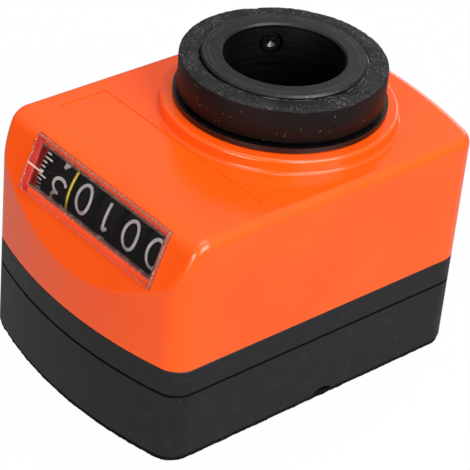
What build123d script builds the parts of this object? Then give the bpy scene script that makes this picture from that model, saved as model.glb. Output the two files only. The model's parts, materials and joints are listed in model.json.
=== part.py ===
from build123d import *
from math import acos, atan2, cos, degrees, hypot, pi, radians, sin, sqrt, tan
import os

# Mechanical position indicator with a hollow shaft, for the end of a machine spindle.
# A five-figure drum counter behind a slanted window is driven by a gear on the hollow
# shaft, through an idler, an upright arbor and a pair of bevel gears.
# Millimetres. The origin is on the shaft's axis in the mounting face. +Z runs along the
# shaft to the collar, and the window looks towards -Y.

# ---- case ----
CASE_WIDTH = 48.0
FRONT_REACH = 42.0  # shaft axis to the crown of the bowed front
REAR_REACH = 25.6
FRONT_ARC_R = 77.0
REAR_ARC_R = 81.0
CORNER_R = 4.3
GASKET_T = 0.8
GASKET_INSET = 0.4
COVER_H = 12.2  # lower black shell
BAND_H = 4.8  # upper black band
SHELL_H = 23.0  # orange housing
WALL = 2.0
TOP_WALL = 1.7
FLOOR_T = 2.2
PLATE_T = 2.2
PARTING_CHAMFER = 0.25
TOP_EDGE_R = 1.6
LIP_T = 1.2
LIP_H = 1.6
LIP_GAP = 0.1

# ---- slanted window face ----
SLANT_ANGLE = 68.5  # from horizontal
SLANT_START = 35.8  # shaft axis to the line where the slant meets the top
SLANT_ROLL_R = 3.5
LENS_W = 33.7
LENS_H = 9.7
LENS_OFF_CENTRE = 0.8
LENS_DROP = 0.95  # top of the slant to the lens
LENS_PROUD = 0.4
LENS_T = 1.6
LENS_EDGE_R = 0.35
LENS_SEAT_W = 1.0  # ledge in the opening that the window is pressed down on
LENS_GAP = 0.1

# ---- bare label field and shaft boss on the top ----
LABEL_W = 39.8
LABEL_L = 9.6
LABEL_CENTRE_Y = -25.0
LABEL_DEPTH = 0.15
BOSS_R = 19.5
BOSS_H = 2.4
BOSS_EDGE_R = 0.5
BOSS_FOOT_R = 0.5

# ---- hollow shaft ----
BORE_R = 10.0
TUBE_R = 12.0
COLLAR_R = 13.5
FLANGE_R = 17.55
FLANGE_T = 0.9
COLLAR_H = 7.0
THRUST_GAP = 0.1
BORE_CHAMFER = 0.3
SEAL_R = 17.0
SEAL_H = 6.0
SEAL_LIFT = 0.4  # open groove between the flange and the seal ring
SEAL_GAP = 0.05

# ---- grub screw in the collar ----
GRUB_R = 1.95
GRUB_LENGTH = 3.0
GRUB_GAP = 0.05
GRUB_AZIMUTH = 150.0
GRUB_DROP = 3.7  # below the collar's end
GRUB_SINK = 0.25  # back from the bore wall
GRUB_KEY_R = 1.1
GRUB_KEY_DEPTH = 1.5

# ---- bushes and retaining ring ----
RUNNING_GAP = 0.05
BUSH_WALL = 1.55
UPPER_FLANGE_W = 2.6
LOWER_FLANGE_W = 1.4
BUSH_FLANGE_T = 1.0
BUSH_PROUD = 0.05  # upper bush above the boss
UPPER_BUSH_L = 6.0
LOWER_BUSH_L = 3.3
SLEEVE_WALL = 1.8
TUBE_CLEARANCE = 0.6
RING_T = 0.8
RING_GROOVE_DEPTH = 0.5
RING_OUT = 1.4  # beyond the tube
RING_MOUTH = 50.0  # degrees
RING_CELL_R = 14.4
RING_LIFT = 0.95
RING_GAP = 0.1

# ---- fastening: torque pin and case screws ----
PIN_R = 3.0
PIN_PROJECTION = 6.0
PIN_DISTANCE = 22.0
PIN_CHAMFER = 0.4
PIN_SHANK_R = 2.5  # part pressed into the base
PIN_SHOULDER_DROP = 0.3  # shoulder below the gasket
PIN_BOSS_WALL = 1.6
BOSS_TOP = 6.4  # torque pin, idler and arbor bosses on the floor
SCREW_R = 1.4
SCREW_CLEAR_R = 1.6
SCREW_HEAD_R = 2.5
SCREW_HEAD_H = 1.8
SCREW_LENGTH = 12.0
SCREW_SEAT = 9.0  # height of the screw head's seat
SCREW_KEY_R = 1.2
SCREW_KEY_DEPTH = 1.1
SCREW_POST_R = 3.6
SCREW_POST_TOP = 22.0
SCREW_POST_BITE = 1.0  # post set into the side wall
SCREW_END_GAP = 0.4
SCREW_FRONT_X = 9.5
SCREW_REAR_INSET = 8.0
SCREW_BITE = 0.02
NOTCH_R = 3.2
NOTCH_TOP = 1.95
NOTCH_Y = -6.4
NOTCH_DEPTH = 1.5

# ---- gear train ----
PRESSURE_ANGLE = 20.0
TOOTH_SHARE = 0.9  # tooth thickness as a share of half the pitch
ADDENDUM = 0.85  # in modules
DEDENDUM = 1.15
TRAIN_MODULE = 0.5
SHAFT_TEETH = 60
IDLER_TEETH = 34
ARBOR_TEETH = 10
GEAR_BOTTOM = 7.2
GEAR_FACE = 3.0
GEAR_HUB_WALL = 1.4
HUB_GAP = 0.3
PRESS_GAP = 0.01
IDLER_PIN_R = 1.5
IDLER_HUB_R = 2.6
ARBOR_R = 1.0
ARBOR_BOSS_R = 2.4
ARBOR_INSET = 5.4  # arbor's axis in from the case's side
ARBOR_END_GAP = 0.5  # below the drums' axle
BEVEL_MODULE = 0.4
BEVEL_PINION_TEETH = 10
BEVEL_WHEEL_TEETH = 30
BEVEL_FACE = 2.2
BEVEL_ADDENDUM = 0.32
BEVEL_DEDENDUM = 0.46
BEVEL_ROOT_SINK = 0.12  # tooth root set into the blank
BEVEL_BACK_T = 1.0  # wheel disc behind its pitch circle

# ---- drum counter ----
DRUM_R = 9.6
DRUM_AXIS_BACK = 10.0  # behind the line where the slant meets the top
DRUM_AXIS_DROP = 11.8  # below the top
DRUM_PITCH = CASE_WIDTH / 8
LAST_DRUM_INSET = 11.15  # last figure's centre in from the case's side
HIGHER_DRUMS = 4
RIM_LEFT = 1.95  # rim edge to the figure's centre, on the gear side
RIM_GAP = 1.25  # between two rims, where the transfer pinion runs
FIRST_RIM_INSET = 6.8  # first rim's edge in from the case's side
CARRY_W = 0.4
BAND_W = 0.7
AXLE_R = 1.0
DRUM_HUB_R = 2.4
DRUM_POCKET_R = 6.0
DRUM_WEB = 1.4
COUNTER_MODULE = 0.8
DRUM_TEETH = 20
TRANSFER_TEETH = 8
TRANSFER_ANGLE = 35.0  # below the horizontal, behind the drums
TRANSFER_AXLE_R = 0.8
TRANSFER_SIDE_GAP = 0.1
CARRY_GAP = 0.2
CARRY_NOTCHES = 3
CARRY_NOTCH_R = 0.6
CARRY_ARC = 54.0  # degrees, three notches that leave two teeth
CHEEK_T = 1.0
CHEEK_R = 9.9
CHEEK_GAP = 0.3
CHEEK_FOOT_W = 15.0
CHEEK_LUG_R = 2.2
AXLE_OVERHANG = 1.0

# ---- levels and places that follow ----
cover_top = GASKET_T + COVER_H
band_top = cover_top + BAND_H
case_top = band_top + SHELL_H
floor_top = GASKET_T + FLOOR_T
plate_top = cover_top + PLATE_T
boss_top = case_top + BOSS_H
bush_top = boss_top + BUSH_PROUD
flange_bottom = bush_top + THRUST_GAP
flange_top = flange_bottom + FLANGE_T
collar_top = flange_top + COLLAR_H
gear_top = GEAR_BOTTOM + GEAR_FACE
bush_bore_r = TUBE_R + RUNNING_GAP
bush_r = bush_bore_r + BUSH_WALL
ring_top = RING_LIFT + RING_T
lower_bush_bottom = ring_top + RING_GAP
lower_bush_top = lower_bush_bottom + LOWER_BUSH_L
drum_axis_y = -(SLANT_START - DRUM_AXIS_BACK)
drum_axis_z = case_top - DRUM_AXIS_DROP
rim_right_reach = DRUM_PITCH - RIM_LEFT - RIM_GAP
last_drum_x = CASE_WIDTH / 2 - LAST_DRUM_INSET
second_drum_x = last_drum_x - (HIGHER_DRUMS - 1) * DRUM_PITCH
first_rim_left = -(CASE_WIDTH / 2 - FIRST_RIM_INSET)
first_rim_right = second_drum_x - RIM_LEFT - RIM_GAP
cheek_left_x = first_rim_left - CHEEK_GAP - CHEEK_T
cheek_right_x = last_drum_x + rim_right_reach + CARRY_W + CHEEK_GAP
screw_rear_x = CASE_WIDTH / 2 - WALL - SCREW_POST_R + SCREW_POST_BITE
screw_front_y = -(FRONT_REACH - WALL - SCREW_POST_R)
screw_rear_y = REAR_REACH - SCREW_REAR_INSET
screw_places = [
    (-SCREW_FRONT_X, screw_front_y),
    (SCREW_FRONT_X, screw_front_y),
    (-screw_rear_x, screw_rear_y),
    (screw_rear_x, screw_rear_y),
]
slant = radians(SLANT_ANGLE)
slant_plane = Plane(
    origin=(0, -SLANT_START, case_top),
    x_dir=(1, 0, 0),
    z_dir=(0, -sin(slant), cos(slant)),
)
lens_centre = (LENS_OFF_CENTRE, -(LENS_DROP + LENS_H / 2))

# The idler sits where its pitch circle touches those of the shaft gear and the arbor's pinion.
arbor_place = (CASE_WIDTH / 2 - ARBOR_INSET, drum_axis_y)
shaft_to_idler = TRAIN_MODULE * (SHAFT_TEETH + IDLER_TEETH) / 2
idler_to_arbor = TRAIN_MODULE * (IDLER_TEETH + ARBOR_TEETH) / 2
arbor_distance = hypot(*arbor_place)
along = (shaft_to_idler**2 - idler_to_arbor**2 + arbor_distance**2) / (2 * arbor_distance)
aside = sqrt(shaft_to_idler**2 - along**2)
arbor_dir = (arbor_place[0] / arbor_distance, arbor_place[1] / arbor_distance)
idler_place = (
    along * arbor_dir[0] + aside * arbor_dir[1],
    along * arbor_dir[1] - aside * arbor_dir[0],
)
idler_heading = degrees(atan2(idler_place[1], idler_place[0]))
arbor_heading = degrees(
    atan2(arbor_place[1] - idler_place[1], arbor_place[0] - idler_place[0])
)

arbor_top = drum_axis_z - AXLE_R - ARBOR_END_GAP
grub_azimuth = radians(GRUB_AZIMUTH)
grub_plane = Plane(
    origin=(0, 0, collar_top - GRUB_DROP),
    x_dir=(0, 0, 1),
    z_dir=(cos(grub_azimuth), sin(grub_azimuth), 0),
)

# The transfer pinions' axle lies below and behind the drums.
transfer_distance = COUNTER_MODULE * (DRUM_TEETH + TRANSFER_TEETH) / 2
transfer_y = drum_axis_y + transfer_distance * cos(radians(TRANSFER_ANGLE))
transfer_z = drum_axis_z - transfer_distance * sin(radians(TRANSFER_ANGLE))
carry_r = transfer_distance - COUNTER_MODULE * (TRANSFER_TEETH / 2 + ADDENDUM) - CARRY_GAP

os.makedirs("parts", exist_ok=True)


def body_plan(inset):
    """Plan of the case moved inwards: straight sides, bowed ends and round corners."""
    half = CASE_WIDTH / 2 - inset
    front = -(FRONT_REACH - inset)
    rear = REAR_REACH - inset
    front_r = FRONT_ARC_R - inset
    rear_r = REAR_ARC_R - inset
    front_side = front + front_r - sqrt(front_r**2 - half**2)
    rear_side = rear - rear_r + sqrt(rear_r**2 - half**2)
    with BuildSketch(Plane.XY) as plan:
        with BuildLine():
            ThreePointArc((-half, front_side), (0, front), (half, front_side))
            Line((half, front_side), (half, rear_side))
            ThreePointArc((half, rear_side), (0, rear), (-half, rear_side))
            Line((-half, rear_side), (-half, front_side))
        make_face()
        fillet(plan.vertices(), CORNER_R - inset)
    return plan.sketch


def involute_turn(radius, base_r):
    """Angle by which an involute from the base circle has turned at a radius."""
    if radius <= base_r:
        return 0.0
    pressure = acos(base_r / radius)
    return tan(pressure) - pressure


def tooth_half_angle(teeth, module, radius):
    """Half the angle, in radians, that a tooth fills at a radius."""
    pitch_r = teeth * module / 2
    base_r = pitch_r * cos(radians(PRESSURE_ANGLE))
    at_pitch = TOOTH_SHARE * pi / (2 * teeth)
    return at_pitch + involute_turn(pitch_r, base_r) - involute_turn(radius, base_r)


def gear_outline(teeth, module, first_tooth):
    """Closed outline of a spur gear whose flanks are chords of an involute.

    first_tooth is the direction of one tooth's centre, in degrees."""
    pitch_r = teeth * module / 2
    radii = (pitch_r - DEDENDUM * module, pitch_r, pitch_r + ADDENDUM * module)
    points = []
    for tooth in range(teeth):
        centre = radians(first_tooth) + 2 * pi * tooth / teeth
        for side, order in ((-1, radii), (1, reversed(radii))):
            for radius in order:
                angle = centre + side * tooth_half_angle(teeth, module, radius)
                points.append((radius * cos(angle), radius * sin(angle)))
    return points


def mating_tooth(heading, teeth, first_tooth, mate_teeth):
    """Direction of a tooth on a gear that meshes with another gear lying behind it.

    heading is the direction from the first gear's centre to the mate's, in degrees."""
    offset = first_tooth - heading
    return heading + 180 - offset * teeth / mate_teeth + 180 / mate_teeth


# ---- foam gasket under the base ----
with BuildPart() as foam_gasket:
    with BuildSketch(Plane.XY):
        add(body_plan(GASKET_INSET))
        Circle(RING_CELL_R, mode=Mode.SUBTRACT)
        with Locations((0, -PIN_DISTANCE)):
            Circle(PIN_SHANK_R + LIP_GAP, mode=Mode.SUBTRACT)
        with Locations(*screw_places):
            Circle(SCREW_HEAD_R + LIP_GAP, mode=Mode.SUBTRACT)
    extrude(amount=GASKET_T)
    with BuildSketch(Plane.YZ.offset(CASE_WIDTH / 2 - NOTCH_DEPTH)):
        with Locations((NOTCH_Y, NOTCH_TOP - NOTCH_R)):
            Circle(NOTCH_R)
    extrude(amount=NOTCH_DEPTH, mode=Mode.SUBTRACT)

# ---- lower shell: floor, screw posts, bush seat and bosses ----
with BuildPart() as base_cover:
    with BuildSketch(Plane.XY.offset(GASKET_T)):
        add(body_plan(0))
    extrude(amount=COVER_H)
    chamfer(base_cover.faces().sort_by(Axis.Z)[-1].edges(), PARTING_CHAMFER)
    chamfer(base_cover.faces().sort_by(Axis.Z)[0].edges(), PARTING_CHAMFER)
    with BuildSketch(Plane.XY.offset(floor_top)):
        add(body_plan(WALL))
    extrude(amount=COVER_H, mode=Mode.SUBTRACT)
    with BuildSketch(Plane.XY.offset(GASKET_T)):
        with Locations(*screw_places):
            Circle(SCREW_POST_R)
    extrude(amount=COVER_H)
    with BuildSketch(Plane.XY.offset(floor_top)):
        with Locations((0, -PIN_DISTANCE)):
            Circle(PIN_SHANK_R + PIN_BOSS_WALL)
        with Locations(idler_place):
            Circle(IDLER_HUB_R)
        with Locations(arbor_place):
            Circle(ARBOR_BOSS_R)
    extrude(amount=BOSS_TOP - floor_top)
    with BuildSketch(Plane.XY.offset(floor_top)):
        Circle(bush_r + SLEEVE_WALL)
    extrude(amount=lower_bush_top - BUSH_FLANGE_T - floor_top)
    with BuildSketch(Plane.XY.offset(GASKET_T)):
        Circle(bush_r + PRESS_GAP)
        with Locations((0, -PIN_DISTANCE)):
            Circle(PIN_SHANK_R + PRESS_GAP)
    extrude(amount=BOSS_TOP, mode=Mode.SUBTRACT)
    with BuildSketch(Plane.XY.offset(GASKET_T)):
        Circle(RING_CELL_R)
    extrude(amount=lower_bush_bottom - GASKET_T, mode=Mode.SUBTRACT)
    with BuildSketch(Plane.XY.offset(FLOOR_T)):
        with Locations(idler_place):
            Circle(IDLER_PIN_R + PRESS_GAP)
        with Locations(arbor_place):
            Circle(ARBOR_R + RUNNING_GAP)
    extrude(amount=BOSS_TOP, mode=Mode.SUBTRACT)
    with BuildSketch(Plane.XY.offset(GASKET_T)):
        with Locations(*screw_places):
            Circle(SCREW_HEAD_R + LIP_GAP)
    extrude(amount=SCREW_SEAT - GASKET_T, mode=Mode.SUBTRACT)
    with BuildSketch(Plane.XY.offset(SCREW_SEAT)):
        with Locations(*screw_places):
            Circle(SCREW_CLEAR_R)
    extrude(amount=COVER_H, mode=Mode.SUBTRACT)
    with BuildSketch(Plane.YZ.offset(CASE_WIDTH / 2 - NOTCH_DEPTH)):
        with Locations((NOTCH_Y, NOTCH_TOP - NOTCH_R)):
            Circle(NOTCH_R)
    extrude(amount=2 * NOTCH_DEPTH, mode=Mode.SUBTRACT)

# ---- upper black band with the plate that carries the counter ----
lip_out = WALL + LIP_GAP
lip_in = lip_out + LIP_T
with BuildPart() as chassis_frame:
    with BuildSketch(Plane.XY.offset(cover_top)):
        add(body_plan(0))
    extrude(amount=BAND_H)
    chamfer(chassis_frame.faces().sort_by(Axis.Z)[0].edges(), PARTING_CHAMFER)
    chamfer(chassis_frame.faces().sort_by(Axis.Z)[-1].edges(), PARTING_CHAMFER)
    for level, height in ((cover_top - LIP_H, LIP_H), (band_top, LIP_H)):
        with BuildSketch(Plane.XY.offset(level)):
            add(body_plan(lip_out))
        extrude(amount=height)
    with BuildSketch(Plane.XY.offset(cover_top - LIP_H)):
        add(body_plan(lip_in))
        with Locations(*screw_places):
            Circle(SCREW_POST_R + LIP_GAP)
    extrude(amount=LIP_H, mode=Mode.SUBTRACT)
    with BuildSketch(Plane.XY.offset(plate_top)):
        add(body_plan(lip_in))
        with Locations(*screw_places):
            Circle(SCREW_POST_R + LIP_GAP)
    extrude(amount=BAND_H + LIP_H, mode=Mode.SUBTRACT)
    with BuildSketch(Plane.XY.offset(cover_top)):
        Circle(TUBE_R + TUBE_CLEARANCE)
        with Locations(arbor_place):
            Circle(ARBOR_R + RUNNING_GAP)
        with Locations(*screw_places):
            Circle(SCREW_CLEAR_R)
    extrude(amount=PLATE_T, mode=Mode.SUBTRACT)
    with BuildSketch(Plane.XY.offset(cover_top)):
        with Locations(idler_place):
            Circle(IDLER_PIN_R + PRESS_GAP)
    extrude(amount=PLATE_T / 2, mode=Mode.SUBTRACT)

# ---- orange housing: thin shell with a slanted window face and a shaft boss ----
with BuildPart() as hollow:
    with BuildSketch(Plane.XY.offset(band_top)):
        add(body_plan(WALL))
    extrude(amount=SHELL_H - TOP_WALL)
    with BuildSketch(slant_plane.offset(-TOP_WALL)):
        Rectangle(2 * CASE_WIDTH, 4 * SHELL_H)
    extrude(amount=FRONT_REACH, mode=Mode.SUBTRACT)

with BuildPart() as housing:
    with BuildSketch(Plane.XY.offset(band_top)):
        add(body_plan(0))
    extrude(amount=SHELL_H)
    with BuildSketch(slant_plane):
        Rectangle(2 * CASE_WIDTH, 4 * SHELL_H)
    extrude(amount=FRONT_REACH, mode=Mode.SUBTRACT)
    fillet(housing.edges().filter_by(Axis.X).sort_by(Axis.Z)[-1], SLANT_ROLL_R)
    fillet(housing.faces().sort_by(Axis.Z)[-1].edges().filter_by(Axis.X, reverse=True), TOP_EDGE_R)
    add(hollow.part, mode=Mode.SUBTRACT)
    with BuildSketch(Plane.XY.offset(case_top - TOP_WALL)):
        Circle(BOSS_R)
    extrude(amount=TOP_WALL + BOSS_H)
    fillet(
        housing.faces().sort_by(Axis.Z)[-1].edges().sort_by(SortBy.RADIUS)[-1],
        BOSS_EDGE_R,
    )
    boss_foot = housing.edges().filter_by(GeomType.CIRCLE).filter_by(
        lambda edge: hypot(edge.radius - BOSS_R, edge.arc_center.Z - case_top) < PRESS_GAP
    )
    fillet(boss_foot, BOSS_FOOT_R)
    with BuildSketch(Plane.XY.offset(bush_top - UPPER_BUSH_L)):
        Circle(bush_r + SLEEVE_WALL)
    extrude(amount=UPPER_BUSH_L - BUSH_FLANGE_T)
    with BuildSketch(Plane.XY.offset(plate_top)):
        with Locations(*screw_places):
            Circle(SCREW_POST_R)
    extrude(amount=SCREW_POST_TOP - plate_top)
    with BuildSketch(Plane.XY.offset(plate_top)):
        Circle(bush_r + PRESS_GAP)
    extrude(amount=boss_top, mode=Mode.SUBTRACT)
    with BuildSketch(Plane.XY.offset(bush_top - BUSH_FLANGE_T)):
        Circle(bush_r + UPPER_FLANGE_W + PRESS_GAP)
    extrude(amount=BUSH_FLANGE_T, mode=Mode.SUBTRACT)
    with BuildSketch(Plane.XY.offset(plate_top)):
        with Locations(*screw_places):
            Circle(SCREW_R + SCREW_BITE)
    extrude(amount=SCREW_SEAT + SCREW_LENGTH + SCREW_END_GAP - plate_top, mode=Mode.SUBTRACT)
    with BuildSketch(Plane.XY.offset(case_top - LABEL_DEPTH)):
        with Locations((0, LABEL_CENTRE_Y)):
            Rectangle(LABEL_W, LABEL_L)
    extrude(amount=LABEL_DEPTH, mode=Mode.SUBTRACT)
    with BuildSketch(slant_plane.offset(SLANT_ROLL_R)):
        with Locations(lens_centre):
            Rectangle(LENS_W + 2 * LENS_GAP, LENS_H + 2 * LENS_GAP)
    extrude(amount=-(SLANT_ROLL_R + LENS_T - LENS_PROUD + PRESS_GAP), mode=Mode.SUBTRACT)
    with BuildSketch(slant_plane):
        with Locations(lens_centre):
            Rectangle(LENS_W - 2 * LENS_SEAT_W, LENS_H - 2 * LENS_SEAT_W)
    extrude(amount=-2 * TOP_WALL, mode=Mode.SUBTRACT)

# ---- clear window: a thick plate with rounded edges, pressed in from the front ----
with BuildPart() as window_lens:
    with BuildSketch(slant_plane.offset(LENS_PROUD)):
        with Locations(lens_centre):
            Rectangle(LENS_W, LENS_H)
    extrude(amount=-LENS_T)
    outward = Axis(slant_plane.origin, slant_plane.z_dir)
    fillet(window_lens.faces().sort_by(outward)[-1].edges(), LENS_EDGE_R)

# ---- hollow shaft: tube, flange and collar turned from one bar ----
with BuildPart() as hollow_shaft:
    with BuildSketch(Plane.XZ):
        with BuildLine():
            Polyline(
                (BORE_R, 0),
                (TUBE_R, 0),
                (TUBE_R, flange_bottom),
                (FLANGE_R, flange_bottom),
                (FLANGE_R, flange_top),
                (COLLAR_R, flange_top),
                (COLLAR_R, collar_top - BORE_CHAMFER),
                (COLLAR_R - BORE_CHAMFER, collar_top),
                (BORE_R + BORE_CHAMFER, collar_top),
                (BORE_R, collar_top - BORE_CHAMFER),
                close=True,
            )
        make_face()
    revolve(axis=Axis.Z)
    with BuildSketch(Plane.XY.offset(RING_LIFT - RING_GAP / 2)):
        Circle(FLANGE_R)
        Circle(TUBE_R - RING_GROOVE_DEPTH, mode=Mode.SUBTRACT)
    extrude(amount=RING_T + RING_GAP, mode=Mode.SUBTRACT)
    with BuildSketch(grub_plane):
        Circle(GRUB_R + GRUB_GAP)
    extrude(amount=COLLAR_R, mode=Mode.SUBTRACT)

with BuildPart() as grub_screw:
    with BuildSketch(grub_plane.offset(BORE_R + GRUB_SINK)):
        Circle(GRUB_R)
    extrude(amount=GRUB_LENGTH)
    chamfer(grub_screw.edges().filter_by(GeomType.CIRCLE), GRUB_SINK)
    with BuildSketch(grub_plane.offset(BORE_R + GRUB_SINK + GRUB_LENGTH)):
        RegularPolygon(GRUB_KEY_R, 6)
    extrude(amount=-GRUB_KEY_DEPTH, mode=Mode.SUBTRACT)

with BuildPart() as seal_ring:
    with BuildSketch(Plane.XY.offset(flange_top + SEAL_LIFT)):
        Circle(SEAL_R)
        Circle(COLLAR_R + SEAL_GAP, mode=Mode.SUBTRACT)
    extrude(amount=SEAL_H)

with BuildPart() as retaining_ring:
    with BuildSketch(Plane.XY.offset(RING_LIFT)):
        Circle(TUBE_R + RING_OUT)
        Circle(TUBE_R - RING_GROOVE_DEPTH + RUNNING_GAP, mode=Mode.SUBTRACT)
        with BuildLine():
            Polyline(
                (0, 0),
                (2 * TUBE_R, 2 * TUBE_R * tan(radians(RING_MOUTH / 2))),
                (2 * TUBE_R, -2 * TUBE_R * tan(radians(RING_MOUTH / 2))),
                close=True,
            )
        make_face(mode=Mode.SUBTRACT)
    extrude(amount=RING_T)

with BuildPart() as upper_bush:
    with BuildSketch(Plane.XY.offset(bush_top - UPPER_BUSH_L)):
        Circle(bush_r)
    extrude(amount=UPPER_BUSH_L)
    with BuildSketch(Plane.XY.offset(bush_top - BUSH_FLANGE_T)):
        Circle(bush_r + UPPER_FLANGE_W)
    extrude(amount=BUSH_FLANGE_T)
    with BuildSketch(Plane.XY.offset(bush_top - UPPER_BUSH_L)):
        Circle(bush_bore_r)
    extrude(amount=UPPER_BUSH_L, mode=Mode.SUBTRACT)

with BuildPart() as lower_bush:
    with BuildSketch(Plane.XY.offset(lower_bush_bottom)):
        Circle(bush_r)
    extrude(amount=LOWER_BUSH_L)
    with BuildSketch(Plane.XY.offset(lower_bush_top - BUSH_FLANGE_T)):
        Circle(bush_r + LOWER_FLANGE_W)
    extrude(amount=BUSH_FLANGE_T)
    with BuildSketch(Plane.XY.offset(lower_bush_bottom)):
        Circle(bush_bore_r)
    extrude(amount=LOWER_BUSH_L, mode=Mode.SUBTRACT)

# ---- torque pin that keeps the case from turning with the spindle ----
with BuildPart() as torque_pin:
    with BuildSketch(Plane.XY.offset(-PIN_PROJECTION)):
        with Locations((0, -PIN_DISTANCE)):
            Circle(PIN_R)
    extrude(amount=PIN_PROJECTION - PIN_SHOULDER_DROP)
    chamfer(torque_pin.edges().filter_by(GeomType.CIRCLE).sort_by(Axis.Z)[0], PIN_CHAMFER)
    with BuildSketch(Plane.XY.offset(-PIN_SHOULDER_DROP)):
        with Locations((0, -PIN_DISTANCE)):
            Circle(PIN_SHANK_R)
    extrude(amount=PIN_SHOULDER_DROP + BOSS_TOP)

# ---- four case screws, driven in from below ----
with BuildPart() as base_screws:
    with BuildSketch(Plane.XY.offset(SCREW_SEAT - SCREW_HEAD_H)):
        with Locations(*screw_places):
            Circle(SCREW_HEAD_R)
            RegularPolygon(SCREW_KEY_R, 6, mode=Mode.SUBTRACT)
    extrude(amount=SCREW_KEY_DEPTH)
    with BuildSketch(Plane.XY.offset(SCREW_SEAT - SCREW_HEAD_H + SCREW_KEY_DEPTH)):
        with Locations(*screw_places):
            Circle(SCREW_HEAD_R)
    extrude(amount=SCREW_HEAD_H - SCREW_KEY_DEPTH)
    with BuildSketch(Plane.XY.offset(SCREW_SEAT)):
        with Locations(*screw_places):
            Circle(SCREW_R)
    extrude(amount=SCREW_LENGTH)

# ---- spur train in the base: shaft gear, idler, arbor ----
idler_tooth = mating_tooth(idler_heading, SHAFT_TEETH, idler_heading, IDLER_TEETH)
arbor_tooth = mating_tooth(arbor_heading, IDLER_TEETH, idler_tooth, ARBOR_TEETH)
hub_top = cover_top - HUB_GAP

with BuildPart() as shaft_gear:
    with BuildSketch(Plane.XY.offset(GEAR_BOTTOM)):
        Polygon(*gear_outline(SHAFT_TEETH, TRAIN_MODULE, idler_heading), align=None)
    extrude(amount=GEAR_FACE)
    with BuildSketch(Plane.XY.offset(gear_top)):
        Circle(TUBE_R + GEAR_HUB_WALL)
    extrude(amount=hub_top - gear_top)
    with BuildSketch(Plane.XY.offset(GEAR_BOTTOM)):
        Circle(TUBE_R + PRESS_GAP)
    extrude(amount=hub_top - GEAR_BOTTOM, mode=Mode.SUBTRACT)

with BuildPart() as idler_pin:
    with BuildSketch(Plane.XY.offset(FLOOR_T)):
        with Locations(idler_place):
            Circle(IDLER_PIN_R)
    extrude(amount=cover_top + PLATE_T / 2 - FLOOR_T)

with BuildPart() as idler_gear:
    with BuildSketch(Plane.XY.offset(GEAR_BOTTOM)):
        with Locations(idler_place):
            Polygon(*gear_outline(IDLER_TEETH, TRAIN_MODULE, idler_tooth), align=None)
    extrude(amount=GEAR_FACE)
    with BuildSketch(Plane.XY.offset(gear_top)):
        with Locations(idler_place):
            Circle(IDLER_HUB_R)
    extrude(amount=hub_top - gear_top)
    with BuildSketch(Plane.XY.offset(BOSS_TOP + HUB_GAP)):
        with Locations(idler_place):
            Circle(IDLER_HUB_R)
    extrude(amount=GEAR_BOTTOM - BOSS_TOP - HUB_GAP)
    with BuildSketch(Plane.XY.offset(BOSS_TOP)):
        with Locations(idler_place):
            Circle(IDLER_PIN_R + RUNNING_GAP)
    extrude(amount=hub_top - BOSS_TOP, mode=Mode.SUBTRACT)

with BuildPart() as drive_arbor:
    with BuildSketch(Plane.XY.offset(FLOOR_T)):
        with Locations(arbor_place):
            Circle(ARBOR_R)
    extrude(amount=arbor_top - FLOOR_T)

with BuildPart() as arbor_pinion:
    with BuildSketch(Plane.XY.offset(BOSS_TOP + HUB_GAP)):
        with Locations(arbor_place):
            Polygon(*gear_outline(ARBOR_TEETH, TRAIN_MODULE, arbor_tooth), align=None)
            Circle(ARBOR_R + PRESS_GAP, mode=Mode.SUBTRACT)
    extrude(amount=gear_top - BOSS_TOP)


def bevel_gear(frame, teeth, mate_teeth, first_tooth, bore_r, back_depth):
    """Bevel gear with its apex at the frame's origin and its teeth below it.

    Each tooth is a loft from its full outline at the outer end to the same outline
    scaled towards the apex; the blank is the root cone and a disc behind it."""
    pitch_r = BEVEL_MODULE * teeth / 2
    reach = BEVEL_MODULE * mate_teeth / 2
    outer = hypot(pitch_r, reach)
    lean = atan2(pitch_r, reach)
    inner_share = (outer - BEVEL_FACE) / outer
    back = -reach - back_depth

    def section(share, height):
        """Radius and level of a point above the pitch cone, scaled towards the apex."""
        radius = outer * sin(lean) + height * cos(lean)
        level = -outer * cos(lean) + height * sin(lean)
        return (share * radius, share * level)

    root_outer = section(1, -BEVEL_DEDENDUM)
    root_inner = section(inner_share, -BEVEL_DEDENDUM)
    virtual_teeth = teeth / cos(lean)
    virtual_r = pitch_r / cos(lean)
    heights = (-BEVEL_DEDENDUM - BEVEL_ROOT_SINK, 0, BEVEL_ADDENDUM)
    half_widths = [
        (virtual_r + h) * tooth_half_angle(virtual_teeth, BEVEL_MODULE, virtual_r + h)
        for h in heights
    ]
    right = list(zip(half_widths, heights))
    outline = right + [(-w, h) for w, h in reversed(right)]
    with BuildPart() as tooth:
        for share in (1, inner_share):
            radius, level = section(share, 0)
            tooth_plane = Plane(
                origin=(radius, 0, level),
                x_dir=(0, 1, 0),
                z_dir=(sin(lean), 0, -cos(lean)),
            )
            with BuildSketch(tooth_plane):
                Polygon(*[(share * w, share * h) for w, h in outline], align=None)
        loft()
    with BuildPart() as gear:
        with BuildSketch(Plane.XZ):
            Polygon(
                (bore_r, root_inner[1]),
                root_inner,
                root_outer,
                (root_outer[0], back),
                (bore_r, back),
                align=None,
            )
        revolve(axis=Axis.Z)
        with PolarLocations(0, teeth, start_angle=first_tooth):
            add(tooth.part)
        with BuildSketch(Plane.XY.offset(back)):
            Circle(bore_r)
        extrude(amount=-back, mode=Mode.SUBTRACT)
    return gear.part.moved(frame.location)


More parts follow.
